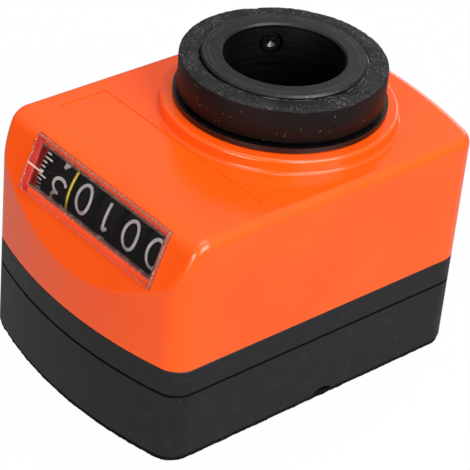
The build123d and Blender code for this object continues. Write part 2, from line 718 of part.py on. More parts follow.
# ---- bevel pair between the arbor and the drums' axle ----
bevel_apex = (*arbor_place, drum_axis_z)
upright_frame = Plane(origin=bevel_apex, x_dir=(1, 0, 0), z_dir=(0, 0, 1))
cross_frame = Plane(origin=bevel_apex, x_dir=(0, 0, -1), z_dir=(-1, 0, 0))
with BuildPart() as bevel_pinion:
    add(
        bevel_gear(
            upright_frame,
            BEVEL_PINION_TEETH,
            BEVEL_WHEEL_TEETH,
            0,
            ARBOR_R + PRESS_GAP,
            BEVEL_BACK_T,
        )
    )
with BuildPart() as bevel_wheel:
    add(
        bevel_gear(
            cross_frame,
            BEVEL_WHEEL_TEETH,
            BEVEL_PINION_TEETH,
            180 / BEVEL_WHEEL_TEETH,
            AXLE_R + PRESS_GAP,
            BEVEL_BACK_T,
        )
    )

# ---- cheeks that carry the drums' axle and the transfer pinions' axle ----
def cheek_outline():
    """Rounded plate with a broad foot, and its two axle holes."""
    foot_front = drum_axis_y - CHEEK_FOOT_W / 2
    foot_rear = transfer_y + CHEEK_LUG_R
    foot_top = transfer_z + CHEEK_LUG_R
    with BuildSketch(Plane.XY) as outline:
        with Locations((drum_axis_y, drum_axis_z)):
            Circle(CHEEK_R)
        with Locations(((foot_front + foot_rear) / 2, (plate_top + foot_top) / 2)):
            Rectangle(foot_rear - foot_front, foot_top - plate_top)
        with Locations((drum_axis_y, drum_axis_z)):
            Circle(AXLE_R + RUNNING_GAP, mode=Mode.SUBTRACT)
        with Locations((transfer_y, transfer_z)):
            Circle(TRANSFER_AXLE_R + PRESS_GAP, mode=Mode.SUBTRACT)
    return outline.sketch


with BuildPart() as cheek_left:
    with BuildSketch(Plane.YZ.offset(cheek_left_x)):
        add(cheek_outline())
    extrude(amount=CHEEK_T)

pinion_foot = drum_axis_z - BEVEL_MODULE * BEVEL_WHEEL_TEETH / 2 - BEVEL_BACK_T
pinion_window_r = BEVEL_MODULE * BEVEL_PINION_TEETH / 2 + BEVEL_ADDENDUM + CHEEK_GAP
with BuildPart() as cheek_right:
    with BuildSketch(Plane.YZ.offset(cheek_right_x)):
        add(cheek_outline())
        with Locations((drum_axis_y, pinion_foot + pinion_window_r - CHEEK_GAP)):
            SlotCenterToCenter(
                BEVEL_FACE, 2 * pinion_window_r, rotation=90, mode=Mode.SUBTRACT
            )
    extrude(amount=CHEEK_T)

# ---- drums ----
drum_plane = Plane(origin=(0, drum_axis_y, drum_axis_z), x_dir=(1, 0, 0), z_dir=(0, -1, 0))
drum_axis = Axis((0, drum_axis_y, drum_axis_z), (1, 0, 0))


def drum_body(left, rim_left, rim_right, bore_r):
    """Drum from its left face to its carry disc: rim, web and hub, pocketed both sides."""
    right = rim_right + CARRY_W
    middle = (rim_left + rim_right) / 2
    with BuildPart() as drum:
        with BuildSketch(drum_plane):
            with Locations(((rim_left + rim_right) / 2, (DRUM_R + DRUM_POCKET_R) / 2)):
                Rectangle(rim_right - rim_left, DRUM_R - DRUM_POCKET_R)
            with Locations(((rim_right + right) / 2, (carry_r + DRUM_POCKET_R) / 2)):
                Rectangle(CARRY_W, carry_r - DRUM_POCKET_R)
            with Locations((middle, (bore_r + DRUM_POCKET_R) / 2)):
                Rectangle(DRUM_WEB, DRUM_POCKET_R - bore_r)
            with Locations(((left + right) / 2, (bore_r + DRUM_HUB_R) / 2)):
                Rectangle(right - left, DRUM_HUB_R - bore_r)
        revolve(axis=drum_axis)
        with BuildSketch(Plane.YZ.offset(rim_right)):
            with Locations((drum_axis_y, drum_axis_z)):
                with PolarLocations(
                    carry_r, CARRY_NOTCHES, start_angle=-TRANSFER_ANGLE, angular_range=CARRY_ARC
                ):
                    Circle(CARRY_NOTCH_R)
        extrude(amount=CARRY_W, mode=Mode.SUBTRACT)
    return drum.part


with BuildPart() as digit_drum_1:
    add(drum_body(first_rim_left, first_rim_left, first_rim_right, AXLE_R + PRESS_GAP))

higher_drums = []
for number in range(HIGHER_DRUMS):
    centre = second_drum_x + number * DRUM_PITCH
    rim_left = centre - RIM_LEFT
    with BuildPart() as higher_drum:
        add(drum_body(rim_left - BAND_W, rim_left, centre + rim_right_reach, AXLE_R + RUNNING_GAP))
        with BuildSketch(Plane.YZ.offset(rim_left - BAND_W)):
            with Locations((drum_axis_y, drum_axis_z)):
                Polygon(*gear_outline(DRUM_TEETH, COUNTER_MODULE, -TRANSFER_ANGLE), align=None)
                Circle(DRUM_POCKET_R, mode=Mode.SUBTRACT)
        extrude(amount=BAND_W)
    higher_drums.append(higher_drum.part)

# ---- transfer pinions, one in each gap between two rims ----
transfer_tooth = mating_tooth(
    -TRANSFER_ANGLE, DRUM_TEETH, -TRANSFER_ANGLE, TRANSFER_TEETH
)
transfer_pinions = []
for number in range(HIGHER_DRUMS):
    pinion_left = second_drum_x + number * DRUM_PITCH - RIM_LEFT - RIM_GAP + TRANSFER_SIDE_GAP
    with BuildPart() as transfer_pinion:
        with BuildSketch(Plane.YZ.offset(pinion_left)):
            with Locations((transfer_y, transfer_z)):
                Polygon(*gear_outline(TRANSFER_TEETH, COUNTER_MODULE, transfer_tooth), align=None)
                Circle(TRANSFER_AXLE_R + RUNNING_GAP, mode=Mode.SUBTRACT)
        extrude(amount=RIM_GAP - 2 * TRANSFER_SIDE_GAP)
    transfer_pinions.append(transfer_pinion.part)

# ---- axles ----
bevel_back_x = arbor_place[0] + BEVEL_MODULE * BEVEL_PINION_TEETH / 2 + BEVEL_BACK_T
with BuildPart() as drum_axle:
    with BuildSketch(Plane.YZ.offset(cheek_left_x - AXLE_OVERHANG)):
        with Locations((drum_axis_y, drum_axis_z)):
            Circle(AXLE_R)
    extrude(amount=bevel_back_x - cheek_left_x + AXLE_OVERHANG)

with BuildPart() as pinion_axle:
    with BuildSketch(Plane.YZ.offset(cheek_left_x)):
        with Locations((transfer_y, transfer_z)):
            Circle(TRANSFER_AXLE_R)
    extrude(amount=cheek_right_x + CHEEK_T - cheek_left_x)

# ---- labels and files ----
pieces = {
    "housing": housing.part,
    "window_lens": window_lens.part,
    "chassis_frame": chassis_frame.part,
    "base_cover": base_cover.part,
    "foam_gasket": foam_gasket.part,
    "torque_pin": torque_pin.part,
    "base_screws": base_screws.part,
    "upper_bush": upper_bush.part,
    "lower_bush": lower_bush.part,
    "hollow_shaft": hollow_shaft.part,
    "seal_ring": seal_ring.part,
    "grub_screw": grub_screw.part,
    "shaft_gear": shaft_gear.part,
    "retaining_ring": retaining_ring.part,
    "idler_pin": idler_pin.part,
    "idler_gear": idler_gear.part,
    "drive_arbor": drive_arbor.part,
    "arbor_pinion": arbor_pinion.part,
    "bevel_pinion": bevel_pinion.part,
    "bevel_wheel": bevel_wheel.part,
    "drum_axle": drum_axle.part,
    "cheek_left": cheek_left.part,
    "cheek_right": cheek_right.part,
    "pinion_axle": pinion_axle.part,
    "digit_drum_1": digit_drum_1.part,
}
for number in range(HIGHER_DRUMS):
    pieces[f"digit_drum_{number + 2}"] = higher_drums[number]
    pieces[f"transfer_pinion_{number + 1}"] = transfer_pinions[number]
for name, piece in pieces.items():
    piece.label = name
    export_step(piece, f"parts/{name}.step")
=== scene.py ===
import json
from math import asin, cos, degrees, radians, sin, sqrt, tau

import bmesh
import bpy
import numpy as np
from mathutils import Matrix, Vector


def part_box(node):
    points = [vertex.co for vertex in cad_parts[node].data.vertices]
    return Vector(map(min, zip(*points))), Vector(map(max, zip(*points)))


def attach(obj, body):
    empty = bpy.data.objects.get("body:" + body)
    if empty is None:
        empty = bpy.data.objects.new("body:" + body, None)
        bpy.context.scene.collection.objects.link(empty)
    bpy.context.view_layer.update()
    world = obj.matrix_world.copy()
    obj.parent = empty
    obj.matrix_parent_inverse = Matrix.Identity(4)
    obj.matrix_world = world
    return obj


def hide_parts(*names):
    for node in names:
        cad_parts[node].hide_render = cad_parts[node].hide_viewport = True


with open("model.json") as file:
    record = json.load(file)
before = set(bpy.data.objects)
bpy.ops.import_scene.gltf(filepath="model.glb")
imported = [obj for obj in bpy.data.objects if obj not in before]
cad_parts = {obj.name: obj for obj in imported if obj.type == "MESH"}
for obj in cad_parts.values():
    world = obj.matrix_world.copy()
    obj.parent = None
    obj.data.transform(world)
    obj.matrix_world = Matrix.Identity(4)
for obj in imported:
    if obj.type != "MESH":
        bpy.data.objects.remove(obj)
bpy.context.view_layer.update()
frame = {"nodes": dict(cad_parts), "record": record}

# Mechanical position indicator: an orange housing on a black base, a five-figure drum
# counter behind a slanted clear window, and a hollow shaft whose collar carries a cut
# rubber ring. Lengths below are millimetres in the CAD frame; meshes are metres.
MM = 0.001

# ---- colours as sRGB hex ----
ORANGE = "#F85609"
ORANGE_DEEP = "#F65007"
# painted shade: the red of the window opening's left end
POCKET_SHADE_RED = "#C01A0A"
BROWN_DUST = "#5A2A16"
BLACK_MOULD = "#0C0B0C"
BLACK_SCUFF = "#1E1C1C"
# painted shade along the base's joints
JOINT_SHADE_BLACK = "#060606"
BASE_DUST = "#4A4846"
FOAM_BLACK = "#040404"
# paler cell walls, beside the painted shade in their hollows
FOAM_LIT_WALL = "#1A1817"
RUBBER_BLACK = "#191818"
# partly painted shade on the ring's side
RUBBER_SIDE_SHADED = "#0D0B0A"
RUBBER_SCUFF = "#3C3B3A"
PALE_DUST = "#A8A6A2"
OXIDE_BLACK = "#41403F"
OXIDE_GREY = "#7C7A77"
INK_GREY = "#BABABC"
INK_WHITE = "#F2F2F2"
INK_PALE = "#F0C4B8"
INK_YELLOW = "#DCCB3C"
DRUM_BLACK = "#040405"
CHEEK_RED = "#E02A1C"
ACETAL_WHITE = "#E4E2DA"
STEEL = "#A9A9A8"
SCREW_GREY = "#5C5A58"
BRONZE = "#B58A55"
CLEAR_TINT = "#F4F1F0"
# pink tint: painted reflection of the orange beside the window's edges
MILKY_PAINTED_ORANGE = "#E09A84"
WALL_TINT = "#E2C6BE"
PAPER_WHITE = "#FFFFFF"
FLOOR_GREY = "#808080"
ROOM_GREY = "#F4F4F4"

# ---- dust, and painted shade along the base's joints ----
SPECK_CHANCE = 0.55  # share of cells without a speck
SPECK_CORE = 0.6  # a speck is full this far out, and fades from there to its edge
BEVEL_H = 0.25  # of the base's pieces, at their joints, where shade is painted in
BEVEL_MARGIN = 0.02
RIM_R, RIM_W = 13.55, 0.16  # where dust gathers between the ring and the collar

# ---- slanted face and its window, from the line where the slant meets the top ----
SLANT_ANGLE = radians(68.5)
SLANT_ORIGIN = np.array([0.0, -35.8, 40.8])
slant_out = np.array([0.0, -sin(SLANT_ANGLE), cos(SLANT_ANGLE)])
slant_up = np.array([0.0, cos(SLANT_ANGLE), sin(SLANT_ANGLE)])
WINDOW_W, WINDOW_H = 33.7, 9.7
WINDOW_MID_X, WINDOW_MID_UP = 0.8, -5.8
POCKET_W = 1.3  # the end of the opening painted red for its shade and bounced light: its width, how deep it starts and reaches
POCKET_START = 0.3
POCKET_DEPTH = 3.0
POCKET_EDGE = 0.15


def linear(hex_code):
    """Linear RGBA of an sRGB hex code: the standard piecewise transfer curve."""
    channels = [int(hex_code[k : k + 2], 16) / 255 for k in (1, 3, 5)]
    return [c / 12.92 if c <= 0.04045 else ((c + 0.055) / 1.055) ** 2.4 for c in channels] + [1.0]


# ---- nodes ----
def add_node(tree, kind, inputs, **settings):
    """One node with its settings. Each input, by name or number, gets a value or the
    socket that feeds it. Gives back the node's outputs."""
    node = tree.nodes.new(kind)
    for name, setting in settings.items():
        setattr(node, name, setting)
    for name, value in inputs.items():
        if isinstance(value, bpy.types.NodeSocket):
            tree.links.new(value, node.inputs[name])
        else:
            node.inputs[name].default_value = value
    return node.outputs


def start_material(name, colour, roughness, metallic=0.0, ior=1.5, **sockets):
    """A material with one Principled shader; other shader sockets by their names. Gives
    back the material, its tree and the place on the object."""
    material = bpy.data.materials.new(name)
    material.use_nodes = True
    tree = material.node_tree
    shader = tree.nodes["Principled BSDF"]
    shader.inputs["Base Color"].default_value = linear(colour)
    shader.inputs["Roughness"].default_value = roughness
    shader.inputs["Metallic"].default_value = metallic
    shader.inputs["IOR"].default_value = ior
    for socket, value in sockets.items():
        shader.inputs[socket.replace("_", " ")].default_value = value
    return material, tree, add_node(tree, "ShaderNodeTexCoord", {})["Object"]


def feed_shader(tree, **sources):
    """Links sources to the Principled shader's sockets, by their names."""
    shader = tree.nodes["Principled BSDF"]
    for socket, source in sources.items():
        tree.links.new(source, shader.inputs[socket.replace("_", " ")])


def lumps(tree, place, size, between=(0.0, 1.0), span=(0.0, 1.0), detail=2.0):
    """Soft lumps about size millimetres across: noise, cut off at two of its levels and
    spread over a span of values."""
    inputs = {"Vector": place, "Scale": 1 / (size * MM), "Detail": detail}
    inputs = {
        "Value": add_node(tree, "ShaderNodeTexNoise", inputs)["Fac"],
        "From Min": between[0],
        "From Max": between[1],
        "To Min": span[0],
        "To Max": span[1],
    }
    return add_node(tree, "ShaderNodeMapRange", inputs)["Result"]


def specks(tree, place, spacing, share):
    """Round specks in about half of the cells that are spacing millimetres apart, share
    of a cell wide: 1 on a speck."""
    cells = add_node(tree, "ShaderNodeTexVoronoi", {"Vector": place, "Scale": 1 / (spacing * MM)})
    random = add_node(tree, "ShaderNodeSeparateColor", {"Color": cells["Color"]})["Red"]
    inputs = {0: random, 1: SPECK_CHANCE}
    chosen = add_node(tree, "ShaderNodeMath", inputs, operation="GREATER_THAN")[0]
    inputs = {"Value": cells["Distance"], "From Min": share, "From Max": share * SPECK_CORE}
    near = add_node(tree, "ShaderNodeMapRange", inputs)["Result"]
    return add_node(tree, "ShaderNodeMath", {0: near, 1: chosen}, operation="MULTIPLY")[0]


def painted(tree, base, *coats):
    """A base colour under thin coats, from the lowest up. A coat is a colour, as a hex
    code or a socket, and one or more shares, whose product is how much it covers."""
    colour = linear(base)
    for coat, cover, *shares in coats:
        for share in shares:
            inputs = {0: cover, 1: share}
            cover = add_node(tree, "ShaderNodeMath", inputs, operation="MULTIPLY")[0]
        coat = linear(coat) if isinstance(coat, str) else coat
        inputs = {0: cover, 6: colour, 7: coat}
        colour = add_node(tree, "ShaderNodeMix", inputs, data_type="RGBA")[2]
    return colour


def grained(tree, place, depth, size, detail=3.0, normal=None):
    """Surface raised and sunk by up to depth millimetres in lumps of size millimetres."""
    inputs = {"Height": lumps(tree, place, size, detail=detail), "Distance": depth * MM}
    if normal:
        inputs["Normal"] = normal
    return add_node(tree, "ShaderNodeBump", inputs)["Normal"]


def turned_place(tree, place):
    """Radius from the shaft's axis along X and height along Z: the same all round."""
    parts = add_node(tree, "ShaderNodeSeparateXYZ", {"Vector": place})
    level = add_node(tree, "ShaderNodeCombineXYZ", {"X": parts["X"], "Y": parts["Y"]})["Vector"]
    radius = add_node(tree, "ShaderNodeVectorMath", {0: level}, operation="LENGTH")["Value"]
    return add_node(tree, "ShaderNodeCombineXYZ", {"X": radius, "Z": parts["Z"]})["Vector"]


def up_facing(tree):
    """1 where the surface faces straight up, 0 where it is upright."""
    normal = add_node(tree, "ShaderNodeNewGeometry", {})["Normal"]
    upright = add_node(tree, "ShaderNodeSeparateXYZ", {"Vector": normal})["Z"]
    inputs = {"Value": upright, "From Min": 0.3, "From Max": 0.9}
    return add_node(tree, "ShaderNodeMapRange", inputs)["Result"]


def painted_pocket_shade(tree, place):
    """Shares whose product is 1 on the left wall and seat of the window's opening, where red is
    painted in for their shade and bounced light, and 0 elsewhere: the place is turned into the
    slanted face's own axes, and each axis is held to a range."""
    inputs = {
        "Vector": place,
        "Location": (SLANT_ORIGIN * MM).tolist(),
        "Rotation": (SLANT_ANGLE, 0, 0),
    }
    turned = add_node(tree, "ShaderNodeMapping", inputs, vector_type="TEXTURE")["Vector"]
    parts = add_node(tree, "ShaderNodeSeparateXYZ", {"Vector": turned})
    for axis, middle, reach in (
        ("X", WINDOW_MID_X - WINDOW_W / 2 + POCKET_W / 2, POCKET_W / 2),
        ("Y", WINDOW_MID_UP, WINDOW_H / 2),
        ("Z", -POCKET_DEPTH / 2 - POCKET_START, POCKET_DEPTH / 2),
    ):
        inputs = {0: parts[axis], 1: middle * MM, 2: (reach + POCKET_EDGE) * MM}
        yield add_node(tree, "ShaderNodeMath", inputs, operation="COMPARE")[0]


# ---- materials: the sizes of their patterns are millimetres ----
# ABS, injection moulded in a polished tool: even orange with a clear gloss, faint sink waves over
# the ribs and a few grains of dust. At the left end of the window's opening it is painted red:
# painted shade and painted bounced light from the orange walls behind the clear plate.
def moulded_orange_abs():
    material, tree, place = start_material("moulded_orange_abs", ORANGE, 0.2, ior=1.53)
    sink_waves = grained(tree, place, depth=0.012, size=9.0, detail=1.0)
    feed_shader(
        tree,
        Base_Color=painted(
            tree,
            ORANGE,
            (ORANGE_DEEP, lumps(tree, place, 14.0, between=(0.3, 0.7))),
            (BROWN_DUST, specks(tree, place, spacing=2.6, share=0.06)),
            # painted shade and bounced light: red at the opening's left end
            (POCKET_SHADE_RED, *painted_pocket_shade(tree, place)),
        ),
        Roughness=lumps(tree, place, 0.35, between=(0.2, 0.8), span=(0.16, 0.26), detail=3.0),
        Normal=grained(tree, place, depth=0.0012, size=0.35, normal=sink_waves),
    )
    return material


# ABS, injection moulded in a spark-eroded tool: a dry, even matt black with fine grain, with
# painted shade, darker and duller, on the bevels along its joints.
def moulded_black_abs():
    material, tree, place = start_material("moulded_black_abs", BLACK_MOULD, 0.48)
    height = add_node(tree, "ShaderNodeSeparateXYZ", {"Vector": place})["Z"]
    bevels = []
    for node_name in ("base_cover", "chassis_frame"):
        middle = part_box(node_name)[1][2] - BEVEL_H * MM / 2
        inputs = {0: height, 1: middle, 2: (BEVEL_H / 2 + BEVEL_MARGIN) * MM}
        bevels.append(add_node(tree, "ShaderNodeMath", inputs, operation="COMPARE")[0])
    inputs = {0: bevels[0], 1: bevels[1]}
    # painted shade: 1 on the bevels along the base's joints, which it darkens and dulls
    joint_shade = add_node(tree, "ShaderNodeMath", inputs, operation="MAXIMUM")[0]
    gloss = {"Value": joint_shade, "To Min": 0.42, "To Max": 0.1}
    grain = lumps(tree, place, 0.22, between=(0.3, 0.7), span=(0.42, 0.56), detail=3.0)
    rougher = {0: joint_shade, 1: 0.4, 2: grain}
    feed_shader(
        tree,
        Base_Color=painted(
            tree,
            BLACK_MOULD,
            (BLACK_SCUFF, lumps(tree, place, 3.0, between=(0.55, 0.8), detail=4.0)),
            (BASE_DUST, specks(tree, place, spacing=1.7, share=0.07)),
            # painted shade on the joints' bevels
            (JOINT_SHADE_BLACK, joint_shade),
        ),
        Specular_IOR_Level=add_node(tree, "ShaderNodeMapRange", gloss)["Result"],
        Roughness=add_node(tree, "ShaderNodeMath", rougher, operation="MULTIPLY_ADD")[0],
        Normal=grained(tree, place, depth=0.012, size=0.22),
    )
    return material


# Closed-cell foam, die cut: torn cells on the cut edge, dull and very dark, with painted shade in
# the cells' hollows and paler walls. The cells are drawn about twice their real size, to show at
# all.
def cut_foam():
    material, tree, place = start_material(
        "cut_foam", FOAM_BLACK, 0.85, ior=1.45, Specular_IOR_Level=0.1
    )
    inputs = {"Vector": place, "Scale": 1 / (0.45 * MM)}
    inside = add_node(tree, "ShaderNodeTexVoronoi", inputs)["Distance"]
    walls = {"Height": inside, "Distance": 0.12 * MM}
    painted_cell_shade = {"Value": inside, "From Min": 0.2, "From Max": 0.8}
    feed_shader(
        tree,
        Base_Color=painted(
            tree,
            FOAM_BLACK,
            # painted shade: darker in each cell's hollow, paler on its walls
            (FOAM_LIT_WALL, add_node(tree, "ShaderNodeMapRange", painted_cell_shade)["Result"]),
        ),
        Normal=add_node(tree, "ShaderNodeBump", walls)["Normal"],
    )
    return material


# Nitrile rubber, cut from tube: a dry, faintly mottled cut face, a smoother side that is darker,
# partly its own skin and partly painted shade, and pale dust that clings to both and gathers
# along the inner rim.
def cut_rubber():
    material, tree, place = start_material(
        "cut_rubber", RUBBER_BLACK, 0.6, ior=1.52, Specular_IOR_Level=0.15
    )
    cut_face = up_facing(tree)
    scuff = lumps(tree, place, 3.5, between=(0.35, 0.75), span=(0.0, 0.35), detail=4.0)
    radius = add_node(tree, "ShaderNodeSeparateXYZ", {"Vector": turned_place(tree, place)})["X"]
    inputs = {0: radius, 1: RIM_R * MM, 2: RIM_W * MM}
    rim = add_node(tree, "ShaderNodeMath", inputs, operation="COMPARE")[0]
    coats = [
        (painted(tree, RUBBER_BLACK, (RUBBER_SCUFF, scuff)), cut_face),
        (
            PALE_DUST,
            specks(tree, place, spacing=0.3, share=0.5),
            lumps(tree, place, 2.6, between=(0.35, 0.7), span=(0.0, 0.3)),
            cut_face,
        ),
        (
            PALE_DUST,
            rim,
            cut_face,
            lumps(tree, place, 3.0, between=(0.48, 0.62)),
            lumps(tree, place, 0.25, between=(0.3, 0.6), span=(0.1, 0.7)),
        ),
        (
            PALE_DUST,
            specks(tree, place, spacing=0.7, share=0.14),
            lumps(tree, place, 2.0, between=(0.45, 0.6), span=(0.0, 0.8)),
        ),
    ]
    matt = {"Value": cut_face, "To Min": 0.5, "To Max": 0.66}
    feed_shader(
        tree,
        # the side darker than the face that points up: partly painted shade
        Base_Color=painted(tree, RUBBER_SIDE_SHADED, *coats),
        Roughness=add_node(tree, "ShaderNodeMapRange", matt)["Result"],
        Normal=grained(tree, place, depth=0.045, size=0.4, detail=4.0),
    )
    return material


# Free-cutting steel, turned and chemically blackened: fine concentric tool marks that
# hold a soft grey sheen, worn paler and a little dusty where it faces up. The marks are
# drawn about half as wide again as a real feed of 0.1 mm, to show.
def blackened_turned_steel():
    material, tree, place = start_material(
        "blackened_turned_steel", OXIDE_BLACK, 0.38, metallic=1.0
    )
    turned = turned_place(tree, place)
    top_face = up_facing(tree)
    coats = [
        (
            OXIDE_GREY,
            lumps(tree, turned, 0.7, between=(0.5, 0.75), detail=3.0),
            lumps(tree, place, 2.2, between=(0.35, 0.7), detail=4.0),
            top_face,
        ),
        (
            PALE_DUST,
            specks(tree, place, spacing=0.45, share=0.3),
            lumps(tree, place, 2.0, between=(0.4, 0.7), span=(0.0, 0.4)),
            top_face,
        ),
    ]
    feed_shader(
        tree,
        Base_Color=painted(tree, OXIDE_BLACK, *coats),
        Roughness=lumps(tree, turned, 0.16, between=(0.3, 0.7), span=(0.3, 0.46)),
        Normal=grained(tree, turned, depth=0.006, size=0.16),
    )
    return material


def light_passes(material, tint):
    """Lets the lamps' rays straight through a clear material, so that they light what is
    behind it."""
    tree = material.node_tree
    passing = add_node(tree, "ShaderNodeBsdfTransparent", {"Color": linear(tint)})["BSDF"]
    shadow_ray = add_node(tree, "ShaderNodeLightPath", {})["Is Shadow Ray"]
    clear = tree.nodes["Principled BSDF"].outputs["BSDF"]
    mixed = add_node(tree, "ShaderNodeMixShader", {0: shadow_ray, 1: clear, 2: passing})["Shader"]
    tree.links.new(mixed, tree.nodes["Material Output"].inputs["Surface"])
    return material


# Polycarbonate, moulded clear: a sharp gloss with a little haze from handling.
def clear_polycarbonate():
    material, tree, place = start_material(
        "clear_polycarbonate", CLEAR_TINT, 0.02, ior=1.58, Transmission_Weight=1.0
    )
    haze = lumps(tree, place, 1.2, between=(0.4, 0.8), span=(0.0, 0.05), detail=3.0)
    feed_shader(tree, Roughness=haze)
    return light_passes(material, CLEAR_TINT)


def plain_moulding(name, colour, roughness, ior=1.5, **sockets):
    """Moulded or printed plastic: even colour with a fine grain in its gloss."""
    material, tree, place = start_material(name, colour, roughness, ior=ior, **sockets)
    span = roughness - 0.06, roughness + 0.06
    feed_shader(
        tree,
        Roughness=lumps(tree, place, 0.25, between=(0.2, 0.8), span=span, detail=3.0),
        Normal=grained(tree, place, depth=0.004, size=0.25),
    )
    return material


def drawn_metal(name, colour, roughness, streak_depth=0.004):
    """Drawn, rolled or sintered metal: fine streaks along Z in its gloss."""
    material, tree, place = start_material(name, colour, roughness, metallic=1.0)
    inputs = {"Vector": place, "Scale": (1.0, 1.0, 0.1)}
    drawn = add_node(tree, "ShaderNodeMapping", inputs)["Vector"]
    span = roughness - 0.08, roughness + 0.1
    feed_shader(
        tree,
        Roughness=lumps(tree, drawn, 0.3, between=(0.2, 0.8), span=span, detail=3.0),
        Normal=grained(tree, drawn, depth=streak_depth, size=0.3),
    )
    return material


finishes = {
    "orange_plastic": moulded_orange_abs(),
    "clear_plastic": clear_polycarbonate(),
    "black_plastic": moulded_black_abs(),
    "foam": cut_foam(),
    "rubber": cut_rubber(),
    "black_steel": blackened_turned_steel(),
    # Free-cutting steel, drawn bright: a clean grey gloss with streaks along the bar.
    "bright_steel": drawn_metal("drawn_bright_steel", STEEL, 0.3),
    # Bronze, sintered: brown and duller, as its pores break up the gloss.
    "bronze": drawn_metal("sintered_bronze", BRONZE, 0.42),
    # Acetal, injection moulded: a waxy off-white satin.
    "white_plastic": plain_moulding("moulded_white_acetal", ACETAL_WHITE, 0.35),
    # ABS, injection moulded: a bright red satin.
    "red_plastic": plain_moulding("moulded_red_abs", CHEEK_RED, 0.4),
    # Acetal, injection moulded: a deep black with a weak, smooth gloss.
    "drum_plastic": plain_moulding(
        "moulded_black_acetal", DRUM_BLACK, 0.24, ior=1.48, Specular_IOR_Level=0.2
    ),
}
# Two-part ink, pad printed: dry, flat and even, with hardly any gloss.
grey_ink = plain_moulding("printed_grey_ink", INK_GREY, 0.5)
white_ink = plain_moulding("printed_white_ink", INK_WHITE, 0.5)
yellow_ink = plain_moulding("printed_yellow_ink", INK_YELLOW, 0.5)
pale_ink = plain_moulding("printed_pale_ink", INK_PALE, 0.4)
# Alloy steel screw, thread rolled and oiled black: rough, with bright rubbed crests.
rolled_screw_steel = drawn_metal("rolled_screw_steel", SCREW_GREY, 0.3, streak_depth=0.05)
# Polycarbonate where the tool was left rough: milky, so it draws pale lines round the clear
# plate, partly painted highlight along its edges; its pink tint is a painted reflection of the
# orange beside it.
milky_edge = plain_moulding(
    "rough_moulded_polycarbonate", MILKY_PAINTED_ORANGE, 0.25, ior=1.58, Transmission_Weight=0.8
)
# Polycarbonate where the tool was left satin: the walls inside the opening, clearer.
milky_wall = plain_moulding(
    "satin_moulded_polycarbonate", WALL_TINT, 0.12, ior=1.58, Transmission_Weight=0.9
)
light_passes(milky_edge, MILKY_PAINTED_ORANGE)
light_passes(milky_wall, WALL_TINT)

slot_of = {entry["node"]: entry["material_slot"] for entry in frame["record"]["subparts"]}
for node_name, node_object in frame["nodes"].items():
    if not node_object.material_slots:
        node_object.data.materials.append(None)
    for material_slot in node_object.material_slots:
        material_slot.link = "OBJECT"
        material_slot.material = finishes[slot_of[node_name]]


# ---- mesh building ----
def box_of(node_name):
    """Lowest and highest corner of a CAD node, in millimetres."""
    return [np.array(corner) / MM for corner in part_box(node_name)]


def grid_faces(rows, columns, closed_rows=False, closed_columns=False):
    """Quads between neighbouring points of a rows by columns grid."""
    i, j = np.meshgrid(
        np.arange(rows if closed_rows else rows - 1),
        np.arange(columns if closed_columns else columns - 1),
        indexing="ij",
    )
    next_i, next_j = (i + 1) % rows, (j + 1) % columns
    corners = (i, j), (next_i, j), (next_i, next_j), (i, next_j)
    return np.stack([row * columns + column for row, column in corners], axis=-1).reshape(-1, 4)


def closed_band(grid):
    """Points and faces of a grid of points whose rows and columns both run in a loop."""
    return grid.reshape(-1, 3), grid_faces(*grid.shape[:2], True, True)


def capped_run(grid):
    """Points and faces of a run of closed sections, one a row, filled at both ends."""
    rows, columns = grid.shape[:2]
    faces = [tuple(face) for face in grid_faces(rows, columns, False, True)]
    faces += [tuple(range(columns)), tuple(range((rows - 1) * columns, rows * columns))]
    return grid.reshape(-1, 3), faces


def bar_shell(place_corners, x, length, middle, width, low, high):
    """A flat bar from x along X, width wide about middle, between two levels: eight
    corners, which place_corners puts on a drum or on the slanted face."""
    along = x + np.array([0, length, length, 0] * 2)
    across = middle + width / 2 * np.array([-1, -1, 1, 1] * 2)
    sides = [(k, (k + 1) % 4, (k + 1) % 4 + 4, k + 4) for k in range(4)]
    points = place_corners(along, across, np.repeat([low, high], 4))
    return points, [(3, 2, 1, 0), (4, 5, 6, 7)] + sides


def stack_shells(shells):
    """Several (points, faces) shells as one."""
    points, faces, count = [], [], 0
    for shell_points, shell_faces in shells:
        points.append(shell_points)
        faces += [tuple(int(k) + count for k in face) for face in shell_faces]
        count += len(shell_points)
    return np.concatenate(points), faces


def ring_points(radius, turn, level):
    """Points round Z: at a radius and a level for each turn in radians."""
    radius, turn, level = np.broadcast_arrays(radius, turn, level)
    return np.stack([radius * np.cos(turn), radius * np.sin(turn), level], axis=-1)


def wobble(angles, seed, terms, size):
    """A smooth closed curve of random height over an angle: a sum of cosines whose
    amplitudes fall with their order, scaled so that its deviation is size."""
    rng = np.random.default_rng(seed)
    orders = np.arange(1, terms + 1)
    amplitudes = rng.normal(size=terms) / np.sqrt(orders)
    phases = rng.uniform(0, tau, terms)
    curve = (amplitudes * np.cos(angles[:, None] * orders + phases)).sum(axis=1)
    return size * curve / curve.std()


def make_piece(name, shell, material, body, smooth=False):
    """A closed mesh piece from a shell of points in millimetres and faces, turned to face
    outwards, riding on a body."""
    points, faces = shell
    mesh = bpy.data.meshes.new(name)
    mesh.from_pydata((points * MM).tolist(), [], [list(face) for face in faces])
    turned = bmesh.new()
    turned.from_mesh(mesh)
    bmesh.ops.recalc_face_normals(turned, faces=turned.faces)
    turned.to_mesh(mesh)
    turned.free()
    mesh.polygons.foreach_set("use_smooth", [smooth] * len(mesh.polygons))
    mesh.materials.append(material)
    piece = bpy.data.objects.new(name, mesh)
    bpy.context.scene.collection.objects.link(piece)
    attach(piece, body)
    return piece


